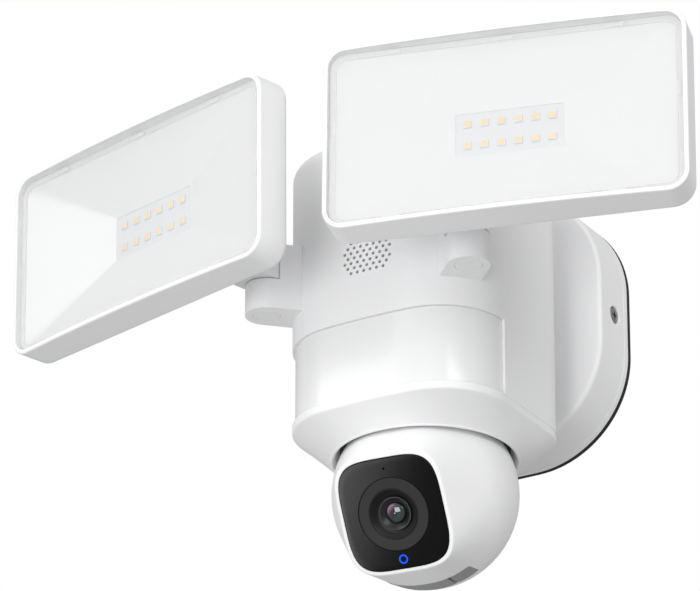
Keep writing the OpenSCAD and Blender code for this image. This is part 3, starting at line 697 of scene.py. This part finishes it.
def makeCanopy(form):
    # gasket and base as bands; the shell has a rounded front edge and a front that swells to its crown
    front, edge, wall, joint = form["front"], form["edge"], form["wall"], form["joint"]
    chamfer = form["chamfer"]
    gasket = hoopOf(form, 0.0, form["gasket"], form["gasketInset"], form["gasketChamfer"])
    addPiece("gasket_skin", meshFrom("gasket", gasket), "wall_gasket")
    base = hoopOf(form, form["gasket"], joint, form["baseInset"], chamfer)
    addPiece("base_skin", meshFrom("base", base), "canopy_base")
    outer = [(wall, joint), (chamfer, joint), (0.0, joint + chamfer), (0.0, 16.0), (0.0, front - edge - 0.3)]
    outer += [(inset, front - short) for inset, short in roundSteps(edge, 8)]
    for t in (0.1, 0.25, 0.5, 0.75, 0.95):
        outer.append((edge + (form["half"] - edge) * t, front + form["crown"] * math.sin(t * math.pi / 2)))
    inner = [(wall, joint), (wall, front - 3.4), (wall + 3, front - wall), (30, front - 2.0)]
    skins = [[canopyRing(form, *step) for step in steps] for steps in (outer, inner)]
    shell = linked("canopy", meshFrom("canopy", [stackOf(rings, closeLast=True) for rings in skins]))
    bore, mouth = form["screwHole"], form["screwHole"] + 0.6
    hole = lathe([(0, -1.9), (bore, -1.9), (bore, -0.45), (mouth, 0.1), (mouth, 2.0), (0, 2.0)], 48)
    for side in (-1, 1):
        cut(shell, [sheetOf(hole, wrapColumns=True)], sidePlace(form, side))
    addPiece("canopy_skin", shell, "canopy_shell")


def makeSideScrews(form):
    # a low domed head with a cross recess, on both sides
    radius = form["screwHead"]
    head = [(0, -1.85), (radius, -1.85), (radius, -0.9)]
    head += [(radius * math.cos(a), -0.9 + 0.75 * math.sin(a)) for a in np.linspace(0.15, 1.57, 9)]
    head[-1] = (0, head[-1][1])
    bars = [roundRect(0.42, 1.75, 0.15, 3, 2), roundRect(1.75, 0.42, 0.15, 3, 2)]
    screws = []
    for side in (-1, 1):
        place = sidePlace(form, side)
        screw = linked("screw", meshFrom("screw", [sheetOf(lathe(head, 48), wrapColumns=True)], place))
        for bar in bars:
            cut(screw, [prismOf(bar, 1.2, -2.0)], place)
        screws.append(screw)
    joinInto(screws[0], screws[1:])
    addPiece("side_screw_skin", screws[0], "canopy_side_screws", smooth=30.0)


def joinInto(first, others):
    # one mesh that holds the meshes of several objects
    work = bmesh.new()
    for item in [first, *others]:
        work.from_mesh(item.data)
    work.to_mesh(first.data)
    work.free()
    for item in others:
        bpy.data.objects.remove(item)


makeCanopy(canopyForm)
makeSideScrews(canopyForm)
print("canopy ready")


# knuckles, feet and brackets keep the CAD's shape and get rounded edges

roundedNodes = dict(left_knuckle=0.35, right_knuckle=0.35, left_foot=0.4, right_foot=0.4, left_bracket=0.4,
                    right_bracket=0.4, knuckle_plugs=0.35, body_neck=0.6, left_hinge_pin=0.3,
                    right_hinge_pin=0.3, recess_cup=0.2)


def roundedCopy(node, width):
    # the CAD mesh merged, its flat faces made whole, and its edges rounded
    work = bmesh.new()
    work.from_mesh(frame["nodes"][node].data)
    bmesh.ops.remove_doubles(work, verts=work.verts, dist=mergeReach)
    bmesh.ops.dissolve_limit(work, angle_limit=math.radians(0.6), verts=work.verts, edges=work.edges)
    mesh = bpy.data.meshes.new(node + "_skin")
    work.to_mesh(mesh)
    work.free()
    piece = linked(node + "_skin", mesh)
    roundEdges(piece, width, 38.0, 3)
    addPiece(node + "_skin", piece, node)


for node, width in roundedNodes.items():
    roundedCopy(node, width)
print("knuckles ready")


# ball

ballForm = dict(radius=39.5, wall=2.2, split=16.0, seamGap=0.12, plateHalf=(22.5, 23.6), plateGap=0.05,
                rimHalf=(24.0, 25.1), rimDepth=38.7, rimRound=0.7, innerRim=1.8, innerDepth=34.7,
                innerRound=0.3, inletDepth=36.1, squareness=4.1, columns=192, slotHalf=27.5,
                slotAngles=(15.5, 90.5))
toolDepths = (-30.0, -45.0)  # from inside the ball's skin to outside it


def squircle(halfWidth, halfHeight, power, count):
    # |x/w|^p + |z/h|^p = 1 at even angles, with its outward unit normals
    angle = np.linspace(0, 2 * math.pi, count, endpoint=False)
    c, s = np.cos(angle), np.sin(angle)
    reach = (np.abs(c / halfWidth) ** power + np.abs(s / halfHeight) ** power) ** (-1 / power)
    x, z = reach * c, reach * s
    slope = np.stack([np.sign(x) * np.abs(x / halfWidth) ** (power - 1) / halfWidth,
                      np.sign(z) * np.abs(z / halfHeight) ** (power - 1) / halfHeight], 1)
    return np.stack([x, z], 1), slope / np.linalg.norm(slope, axis=1, keepdims=True)


def ballRows(form, radius, rimHalf, rimDepth, rimRound, seam):
    # from the rim each line runs straight to where it touches the sphere, then along the sphere to the seam;
    # the touching angle b solves h cos b + p sin b = R, with h the rim's reach along its normal, p its depth
    line, normal = squircle(*rimHalf, form["squareness"], form["columns"])
    reach = (line * normal).sum(1)
    size = np.hypot(reach, rimDepth)
    touch = np.arctan2(rimDepth, reach) - np.arccos(np.minimum(radius / size, 1.0))
    rise = np.stack([normal[:, 0] * np.cos(touch), -np.sin(touch), normal[:, 1] * np.cos(touch)], 1)
    touchPoint = radius * rise
    edge = facing(line, -rimDepth)
    ahead = touchPoint - edge
    away = ahead / np.linalg.norm(ahead, axis=1, keepdims=True)
    inward = facing(line - normal * rimRound, -rimDepth)
    start = edge + away * rimRound
    rows = curveOf(inward, edge, start, 6)
    for t in (0.25, 0.5, 0.75, 0.92):
        rows.append(start + (touchPoint - start) * t)
    last = -math.asin(seam / radius)
    for t in np.linspace(0, 1, 22):
        b = touch + (last - touch) * t
        rows.append(radius * np.stack([normal[:, 0] * np.cos(b), -np.sin(b), normal[:, 1] * np.cos(b)], 1))
    return rows


def slotTool(form):
    # wedge across the ball's top, from just behind the top towards the rear, open outwards
    first, last = (math.radians(90 - a) for a in form["slotAngles"])
    angle = np.linspace(last, first, 14)
    outline = np.concatenate([[[0, 0]], np.stack([np.cos(angle), np.sin(angle)], 1) * 60])
    side = lambda x: np.stack([np.full(len(outline), x), outline[:, 0], outline[:, 1]], 1)
    return [solidOf([side(-form["slotHalf"]), side(form["slotHalf"])])]


def plateOutline(grow):
    # the face plate's outline grown by so much, with its normals
    halves = (half + grow for half in ballForm["plateHalf"])
    return squircle(*halves, ballForm["squareness"], ballForm["columns"])


def makeBall(form):
    # the front shell's outer and inner skins meet at the seam and in the square inlet that holds the plate
    depth, seam = form["rimDepth"], form["split"] - form["seamGap"]
    outer = ballRows(form, form["radius"], form["rimHalf"], depth, form["rimRound"], seam)
    innerHalf = [half - form["innerRim"] for half in form["rimHalf"]]
    innerRadius = form["radius"] - form["wall"]
    inner = ballRows(form, innerRadius, innerHalf, form["innerDepth"], form["innerRound"], seam)
    hole = plateOutline(form["plateGap"])[0]
    inlet = [facing(hole, -form["inletDepth"]), facing(hole, -depth + 0.1), facing(hole, -depth)]
    shell = linked("ball", meshFrom("ball", [stackOf(inner[::-1] + inlet + outer, wrapRows=True)]))
    cut(shell, slotTool(form))
    cut(shell, [flapTool(flapForm, -flapForm["end"], flapForm["end"], 0.12)])
    toPlace(shell, ballPlace)
    addPiece("ball_front_skin", shell, "ball_front_shell", smooth=40.0)
    rear = linked("rear", meshFrom("rear", [rearRows(form)]))
    cut(rear, slotTool(form))
    toPlace(rear, ballPlace)
    addPiece("ball_rear_skin", rear, "ball_rear_shell", smooth=40.0)


def rearRows(form):
    # the cap of the sphere behind the seam: outer wall to the pole and inner wall back
    rows = []
    for radius, order in ((form["radius"], 1), (form["radius"] - form["wall"], -1)):
        first = math.asin((form["split"] + form["seamGap"]) / radius)
        for b in np.linspace(first, math.pi / 2, 18)[::order]:
            rows.append(facing(circleOf(radius * math.cos(b), form["columns"]), radius * math.sin(b)))
    return stackOf(rows, wrapRows=True)


def toPlace(piece, place):
    # turns and moves a mesh that was made round the origin
    turn, origin = place
    matrix = Matrix.Identity(4)
    for i in range(3):
        for j in range(3):
            matrix[i][j] = turn[i, j]
        matrix[i][3] = origin[i] * mm
    piece.data.transform(matrix)


flapForm = dict(angle=67.0, half=5.6, end=19.5, joint=9.7, gap=0.5, corner=1.6, depth=2.0, rise=0.15,
                edge=0.35, dish=-0.2, insets=(0.7, 1.2, 2.0, 3.2, 4.4), middle=0.02)


def flapPlace(form):
    # frame whose -Y points out through the flap
    return turnAboutX(form["angle"]), np.zeros(3)


def flapTool(form, first, last, grow):
    outline = roundRect((last - first) / 2 + grow, form["half"] + grow, form["corner"], 6, 4)
    points, faces = prismOf(outline + [(first + last) / 2, 0], *toolDepths)
    return placed(points, flapPlace(form)), faces


def skinPatch(form, first, last):
    # a piece of the ball's skin inside a rounded rectangle: insets of the outline lifted onto the sphere,
    # with a rounded edge and a shallow dish inside a border 1 mm wide
    radius, edge = ballForm["radius"] + form["rise"], form["edge"]
    centre, half, middle = (first + last) / 2, (last - first) / 2, form["half"] - form["middle"]

    def lift(inset, reach):
        outline = roundRect(half - inset, form["half"] - inset, form["corner"] - inset, 6, 10) + [centre, 0]
        return facing(outline, -np.sqrt(reach ** 2 - (outline ** 2).sum(1)))

    rows = [lift(inset, radius - form["depth"]) for inset in (middle, 3.0, 0.0)] + [lift(0.0, radius - edge)]
    rows += [lift(inset, radius - short) for inset, short in roundSteps(edge, 5)[1:]]
    for inset in (*form["insets"], middle):
        rows.append(lift(inset, radius + form["dish"] * (inset > 1.0)))
    return stackOf(rows, wrapRows=True)


def makeFlap(form):
    for name, node, first, last in (
            ("flap_skin", "storage_flap", -form["end"], form["joint"] - form["gap"]),
            ("button_skin", "sync_button", form["joint"] + form["gap"], form["end"])):
        points, faces = skinPatch(form, first, last)
        points = placed(points, flapPlace(form))
        addPiece(name, meshFrom(name, [(points, faces)], ballPlace), node, smooth=40.0)


faceForm = dict(depth=39.2, thickness=2.2, edge=0.45, lensZ=-0.4, lensHole=15.45, micZ=19.0, micHole=0.5,
                ledZ=-19.5, ledHole=2.0, ledRing=(1.35, 1.95))


def makeFacePlate(form):
    # a squircle slab with a rounded front edge and a round hole for the lens
    line, normal = plateOutline(-ballForm["plateGap"])
    angle = np.arctan2(line[:, 1] - form["lensZ"], line[:, 0])
    circle = lambda r: arcOf((0, form["lensZ"]), r, angle)
    front, back, edge = -form["depth"], -form["depth"] + form["thickness"], form["edge"]
    hole, chamfer = circle(form["lensHole"]), circle(form["lensHole"] + 0.2)
    rows = [facing(line, back), facing(line, front + edge)]
    rows += [facing(line - normal * inset, front + short) for inset, short in roundSteps(edge, 6)[1:]]
    for t in (0.25, 0.5, 0.75, 1.0):
        rows.append(facing((line - normal * edge) * (1 - t) + chamfer * t, front))
    rows += [facing(hole, front + 0.2), facing(hole, back)]
    plate = linked("plate", meshFrom("plate", [stackOf(rows, wrapRows=True)]))
    for radius, count, z in ((form["micHole"], 24, form["micZ"]), (form["ledHole"], 40, form["ledZ"])):
        cut(plate, [prismOf(circleOf(radius, count, (0, z)), *toolDepths)])
    toPlace(plate, ballPlace)
    addPiece("face_skin", plate, "face_plate", smooth=30.0)


def grooves(first, last, ridge, count):
    # fine steps down a cone from (radius, depth) first to last, each with a small ridge
    rows = []
    for i in range(count):
        a, b = i / count, (i + 0.7) / count
        for t, out in ((a, 0.0), (b, ridge)):
            rows.append((first[0] + (last[0] - first[0]) * t, first[1] + (last[1] - first[1]) * t + out))
    return rows + [last]


def mapFlat(mesh, reach):
    # UV map looked at from the front: u and v run from 0 to 1 across the piece
    spots = np.empty(len(mesh.vertices) * 3)
    mesh.vertices.foreach_get("co", spots)
    corners = np.empty(len(mesh.loops), np.int32)
    mesh.loops.foreach_get("vertex_index", corners)
    flat = spots.reshape(-1, 3)[corners][:, [0, 2]] / (2 * reach * mm) + 0.5
    mesh.uv_layers.new(name="face").data.foreach_set("uv", flat.ravel())


def makeLens(form):
    # rings turned round the lens axis, given as (radius, height over the plate's back plane)
    r, z = form["lensHole"] - 0.06, form["lensZ"]
    ring = [(10.75, 0.0), (r, 0.0), (r, 2.02), (r - 0.25, 2.24), (r - 0.9, 2.24), (12.9, 2.2), (11.1, 2.16),
            (10.75, 1.95)]
    hood = [(7.32, -1.8), (10.7, -1.8), (10.7, 1.85), (10.45, 1.95), (10.2, 1.85)]
    hood += grooves((9.95, 1.5), (8.2, 0.0), 0.1, 5) + [(7.8, -0.15), (7.32, -0.3)]
    barrel = [(4.3, -12.0), (7.25, -12.0), (7.25, 0.35), (7.05, 0.55), (6.6, 0.55), (6.4, 0.4)]
    barrel += grooves((6.2, 0.2), (4.5, -1.3), 0.08, 4) + [(4.3, -1.5)]
    glass = [(0, -3.2), (4.22, -3.2), (4.22, -1.5)]
    glass += [(4.22 * math.cos(a), -1.5 + 1.7 * math.sin(a)) for a in np.linspace(0.12, 1.5708, 14)]
    glass[-1] = (0, glass[-1][1])
    inner, outer = form["ledRing"]
    lamp = [(inner, 1.6), (outer, 1.6), (outer, 2.15)]
    lamp += [((inner + outer) / 2 + (outer - inner) / 2 * math.cos(a), 2.15 + 0.1 * math.sin(a))
             for a in np.linspace(0, math.pi, 7)[1:-1]]
    lamp += [(inner, 2.15)]
    middle = [(0, 1.0), (inner - 0.02, 1.0), (inner - 0.02, 2.1), (inner - 0.15, 2.2), (0, 2.2)]
    back = form["depth"] - form["thickness"]
    for name, node, profile, height, closed in (
            ("lens_ring_skin", "lens_ring", ring, z, True), ("hood_skin", "lens_hood", hood, z, True),
            ("barrel_skin", "lens_barrel", barrel, z, True), ("glass_skin", "lens_glass", glass, z, False),
            ("status_skin", "status_ring", lamp, form["ledZ"], True),
            ("status_middle", "face_plate", middle, form["ledZ"], False)):
        points, faces = sheetOf(lathe(profile, 128), wrapRows=closed, wrapColumns=True)
        turned = linked(name, meshFrom(name, [(points, faces)]))
        mapFlat(turned.data, max(point[0] for point in profile))
        toPlace(turned, (ballPlace[0], ballPlace[1] + ballPlace[0] @ [0, -back, height]))
        addPiece(name, turned, node, smooth=28.0)


makeBall(ballForm)
makeFlap(flapForm)
makeFacePlate(faceForm)
makeLens(faceForm)
print("ball ready")


# lamps

lampForm = dict(half=(76.7, 42.35), corner=9.5, depth=17.0, bow=2.7, bezel=2.0, rimRound=0.7, backRound=3.0,
                floor=14.8, border=2.9, sheetFront=0.36, sheetBack=2.16, groove=0.62, window=(23.0, 10.0),
                windowDepth=11.2, reflectorWall=0.9)


def bowAt(form, x):
    # how far the lamp's front stands ahead at x: an arc that is flush with its frame at the sides
    half = form["half"][0] - form["bezel"]
    radius = (half ** 2 + form["bow"] ** 2) / (2 * form["bow"])
    return -(np.sqrt(radius ** 2 - x ** 2) - (radius - form["bow"]))


def lampRing(form, inset, depth, bowed, arcs=12, sides=24):
    # rounded rectangle moved in by inset, at a depth that follows the bow where bowed is 1
    across, up = (half - inset for half in form["half"])
    outline = roundRect(across, up, form["corner"] - inset, arcs, sides)
    return facing(outline, depth + bowed * bowAt(form, outline[:, 0]))


def addLampPiece(name, node, sheets, side, **look):
    # a piece made in the lamp's own frame and set in its place
    addPiece(name, meshFrom(name, sheets, lampPlace[side]), node, **look)


def makeHousing(form, side):
    # rounded back, upright sides, a rounded rim that follows the bow, and the inside down to the floor
    depth, curve, rim, bezel = form["depth"], form["backRound"], form["rimRound"], form["bezel"]
    rows = [lampRing(form, short, depth - inset, 0) for inset, short in roundSteps(curve, 7)]
    rows += [lampRing(form, 0.0, 7.0, 0), lampRing(form, 0.0, 0.9, 1)]
    rows += [lampRing(form, inset, short, 1) for inset, short in roundSteps(rim, 5)]
    rows += [lampRing(form, bezel - 0.3, 0.0, 1), lampRing(form, bezel - 0.1, 0.08, 1),
             lampRing(form, bezel, 0.3, 1), lampRing(form, bezel, form["floor"], 0)]
    addLampPiece(side + "_housing_skin", side + "_housing", [solidOf(rows)], side, smooth=40.0)


def makeDiffuser(form, side):
    # a bowed sheet: rings from its edge in to a middle line, on both faces, with a fine groove by its border
    edge = form["bezel"] + 0.06
    groove = edge + form["border"]
    top, deep, back, middle = form["sheetFront"], form["groove"], form["sheetBack"], form["half"][1]
    steps = [(middle, back), (30.0, back), (15.0, back), (edge, back), (edge, 0.75), (edge, 0.5),
             (edge + 0.1, 0.4), (edge + 0.4, top), (groove - 0.3, top), (groove - 0.15, deep),
             (groove + 0.05, deep), (groove + 0.2, top), (groove + 0.8, top)]
    steps += [(inset, top) for inset in (10.0, 18.0, 27.0, 36.0, middle)]
    rows = [lampRing(form, inset, y, 1, 12, 40) for inset, y in steps]
    addLampPiece(side + "_diffuser_skin", side + "_diffuser", [stackOf(rows)], side, smooth=25.0)


def makeReflector(form, side):
    # a four-sided funnel from the border to the light window, with clips on its rim
    rim = form["bezel"] + form["border"] + 0.1
    outer = lampRing(form, rim, 3.0, 0)
    window = facing(roundRect(*form["window"], 1.0, 12, 24), form["windowDepth"])
    mix = lambda t, grow: outer * (1 - t) + window * t + [0, grow, 0]
    flange = form["bezel"] + 0.15
    steps = ((flange, 3.4), (flange, 2.9), (rim - 0.5, 2.8), (rim - 0.3, 2.4), (rim, 2.4))
    rows = [lampRing(form, inset, depth, 0) for inset, depth in steps]
    rows += [mix(t, 0.0) for t in (0.0, 0.02, 0.25, 0.5, 0.75, 0.98, 1.0)]
    rows += [mix(t, form["reflectorWall"]) for t in (1.0, 0.6, 0.3, 0.0)]
    sheets = [stackOf(rows, wrapRows=True)]
    across, up = form["half"][0] - rim + 0.9, form["half"][1] - rim + 0.9
    clips = [(x * across, s * up, 3.6, 0.8) for x in (-0.66, 0.0, 0.64) for s in (-1, 1)]
    clips += [(s * across, 0.15 * up, 0.8, 3.6) for s in (-1, 1)]
    for x, z, halfX, halfZ in clips:
        sheets.append(prismOf(roundRect(halfX, halfZ, 0.4, 3, 2) + [x, z], 2.5 + bowAt(form, x) * 0.3, 4.0))
    addLampPiece(side + "_reflector_skin", side + "_reflector", sheets, side, smooth=12.0)


ledForm = dict(board=(30.0, 17.0), depth=11.5, thickness=1.4, pitch=(7.2, 10.0), half=1.75, height=0.7,
               columns=6)


def makeLedBoard(form, side):
    # white board, twelve square packages with a phosphor dot in each
    depth, top = form["depth"], form["depth"] - form["height"]
    board = [facing(roundRect(form["board"][0] - e, form["board"][1] - e, 2.0, 6, 2), y)
             for e, y in ((0.3, depth), (0.0, depth + 0.3), (0.0, depth + form["thickness"]))]
    dome = [(1.45, top + 0.02), (1.4, top - 0.06), (1.0, top - 0.16), (0.5, top - 0.2)]
    square = lambda e: roundRect(form["half"] - e, form["half"] - e, 0.3, 2, 1)
    levels = ((0.0, depth + 0.1), (0.0, top + 0.15), (0.15, top))
    sheets, dots = [solidOf(board)], []
    for i in range(form["columns"]):
        for k in (-0.5, 0.5):
            spot = np.array([form["pitch"][0] * (i - (form["columns"] - 1) / 2), form["pitch"][1] * k])
            package = [facing(square(e) + spot, y) for e, y in levels]
            sheets.append(solidOf(package))
            dots.append(solidOf([facing(circleOf(r, 20, spot), y) for r, y in dome]))
    node = side + "_led_board"
    addLampPiece(node + "_skin", node, sheets, side)
    addLampPiece(side + "_led_dots", node, dots, side, material=finishOf("led_phosphor"))


for side in ("left", "right"):
    makeHousing(lampForm, side)
    makeDiffuser(lampForm, side)
    makeReflector(lampForm, side)
    makeLedBoard(ledForm, side)
print("lamps ready")


# studio

stageLook = dict(floor=-6.0, size=90.0, seen=0.92, bounce=0.68)
worldLook = dict(direction=(0.1, -0.9, 0.1), low=0.56, high=1.12)
softBoxes = dict(
    key=dict(place=(-1.7, -2.2, 1.5), size=(1.6, 1.6), power=15.0),
    side=dict(place=(2.2, -1.4, 0.9), size=(1.6, 1.6), power=22.0),
    front=dict(place=(0.0, -2.6, -1.0), size=(1.4, 1.2), power=31.0),
    glint=dict(place=(-0.7507, -1.9385, -1.4713), size=(0.11, 0.26), power=1.8, turn=-40.7, fade=0.1),
)
lightsAim = (0.0, -0.08, 0.0)


def makeStage(look):
    half = look["size"] / 2
    mesh = bpy.data.meshes.new("floor")
    corners = [(x * half, y * half, look["floor"]) for x, y in ((-1, -1), (1, -1), (1, 1), (-1, 1))]
    mesh.from_pydata(corners, [], [(0, 1, 2, 3)])
    floor = linked("floor", mesh)
    # the floor looks pale, but bounces less light up than it shows
    material, tree, shader = nodesOf("floor")
    shade = np.full(3, look["seen"])
    seen = tint(tree, objectNoise(tree, 40.0, 3.0), shade * 0.985, shade)
    ray = addNode(tree, "LightPath").outputs["Is Camera Ray"]
    mix = addNode(tree, "MixRGB", {"Color1": (*[look["bounce"]] * 3, 1.0)}, {"Fac": ray, "Color2": seen})
    feed(tree, shader, {"Roughness": 0.9}, {"Base Color": mix.outputs["Color"]})
    mesh.materials.append(material)


def makeWorld(look):
    # light that grows from low to high with the cosine of the angle to one direction; the backdrop is white
    world = bpy.data.worlds.new("studio")
    bpy.context.scene.world = world
    world.use_nodes = True
    tree = world.node_tree
    tree.nodes.clear()
    toward = addNode(tree, "VectorMath")
    toward.operation = "DOT_PRODUCT"
    feed(tree, toward, {1: Vector(look["direction"]).normalized()},
         {0: addNode(tree, "TexCoord").outputs["Generated"]})
    ends = {"From Min": -1.0, "To Min": look["low"], "To Max": look["high"]}
    ranged = addNode(tree, "MapRange", ends, {"Value": toward.outputs["Value"]})
    light = addNode(tree, "Background", fed={"Strength": ranged.outputs["Result"]})
    backdrop = addNode(tree, "Background", {"Color": (1.0, 1.0, 1.0, 1.0)})
    ray = addNode(tree, "LightPath").outputs["Is Camera Ray"]
    mix = addNode(tree, "MixShader", fed={"Fac": ray, 1: light.outputs["Background"],
                                          2: backdrop.outputs["Background"]})
    addNode(tree, "OutputWorld", fed={"Surface": mix.outputs["Shader"]})


def fadeAcross(data, least):
    # strength along the light's width, from full at one end down to the least at the other
    data.use_nodes = True
    tree = data.node_tree
    along = addNode(tree, "SeparateXYZ", fed={"Vector": addNode(tree, "NewGeometry").outputs["Parametric"]})
    ranged = addNode(tree, "MapRange", {"To Min": 1.0, "To Max": least}, {"Value": along.outputs["X"]})
    feed(tree, tree.nodes["Emission"], fed={"Strength": ranged.outputs["Result"]})


def makeLights(boxes):
    # soft boxes that look at the object from their places; none of them shows itself
    for name, look in boxes.items():
        data = bpy.data.lights.new(name, "AREA")
        data.shape = "RECTANGLE"
        data.size, data.size_y = look["size"]
        data.energy = look["power"]
        if "fade" in look:
            fadeAcross(data, look["fade"])
        lamp = linked(name, data)
        lamp.location = look["place"]
        lamp.visible_camera = False
        lamp.rotation_mode = "QUATERNION"
        ahead = (Vector(lightsAim) - lamp.location).to_track_quat("-Z", "Y")
        lamp.rotation_quaternion = ahead @ Quaternion((0, 0, 1), math.radians(look.get("turn", 0.0)))


makeStage(stageLook)
makeWorld(worldLook)
makeLights(softBoxes)
bpy.context.scene.view_settings.view_transform = "Standard"
print("studio ready")
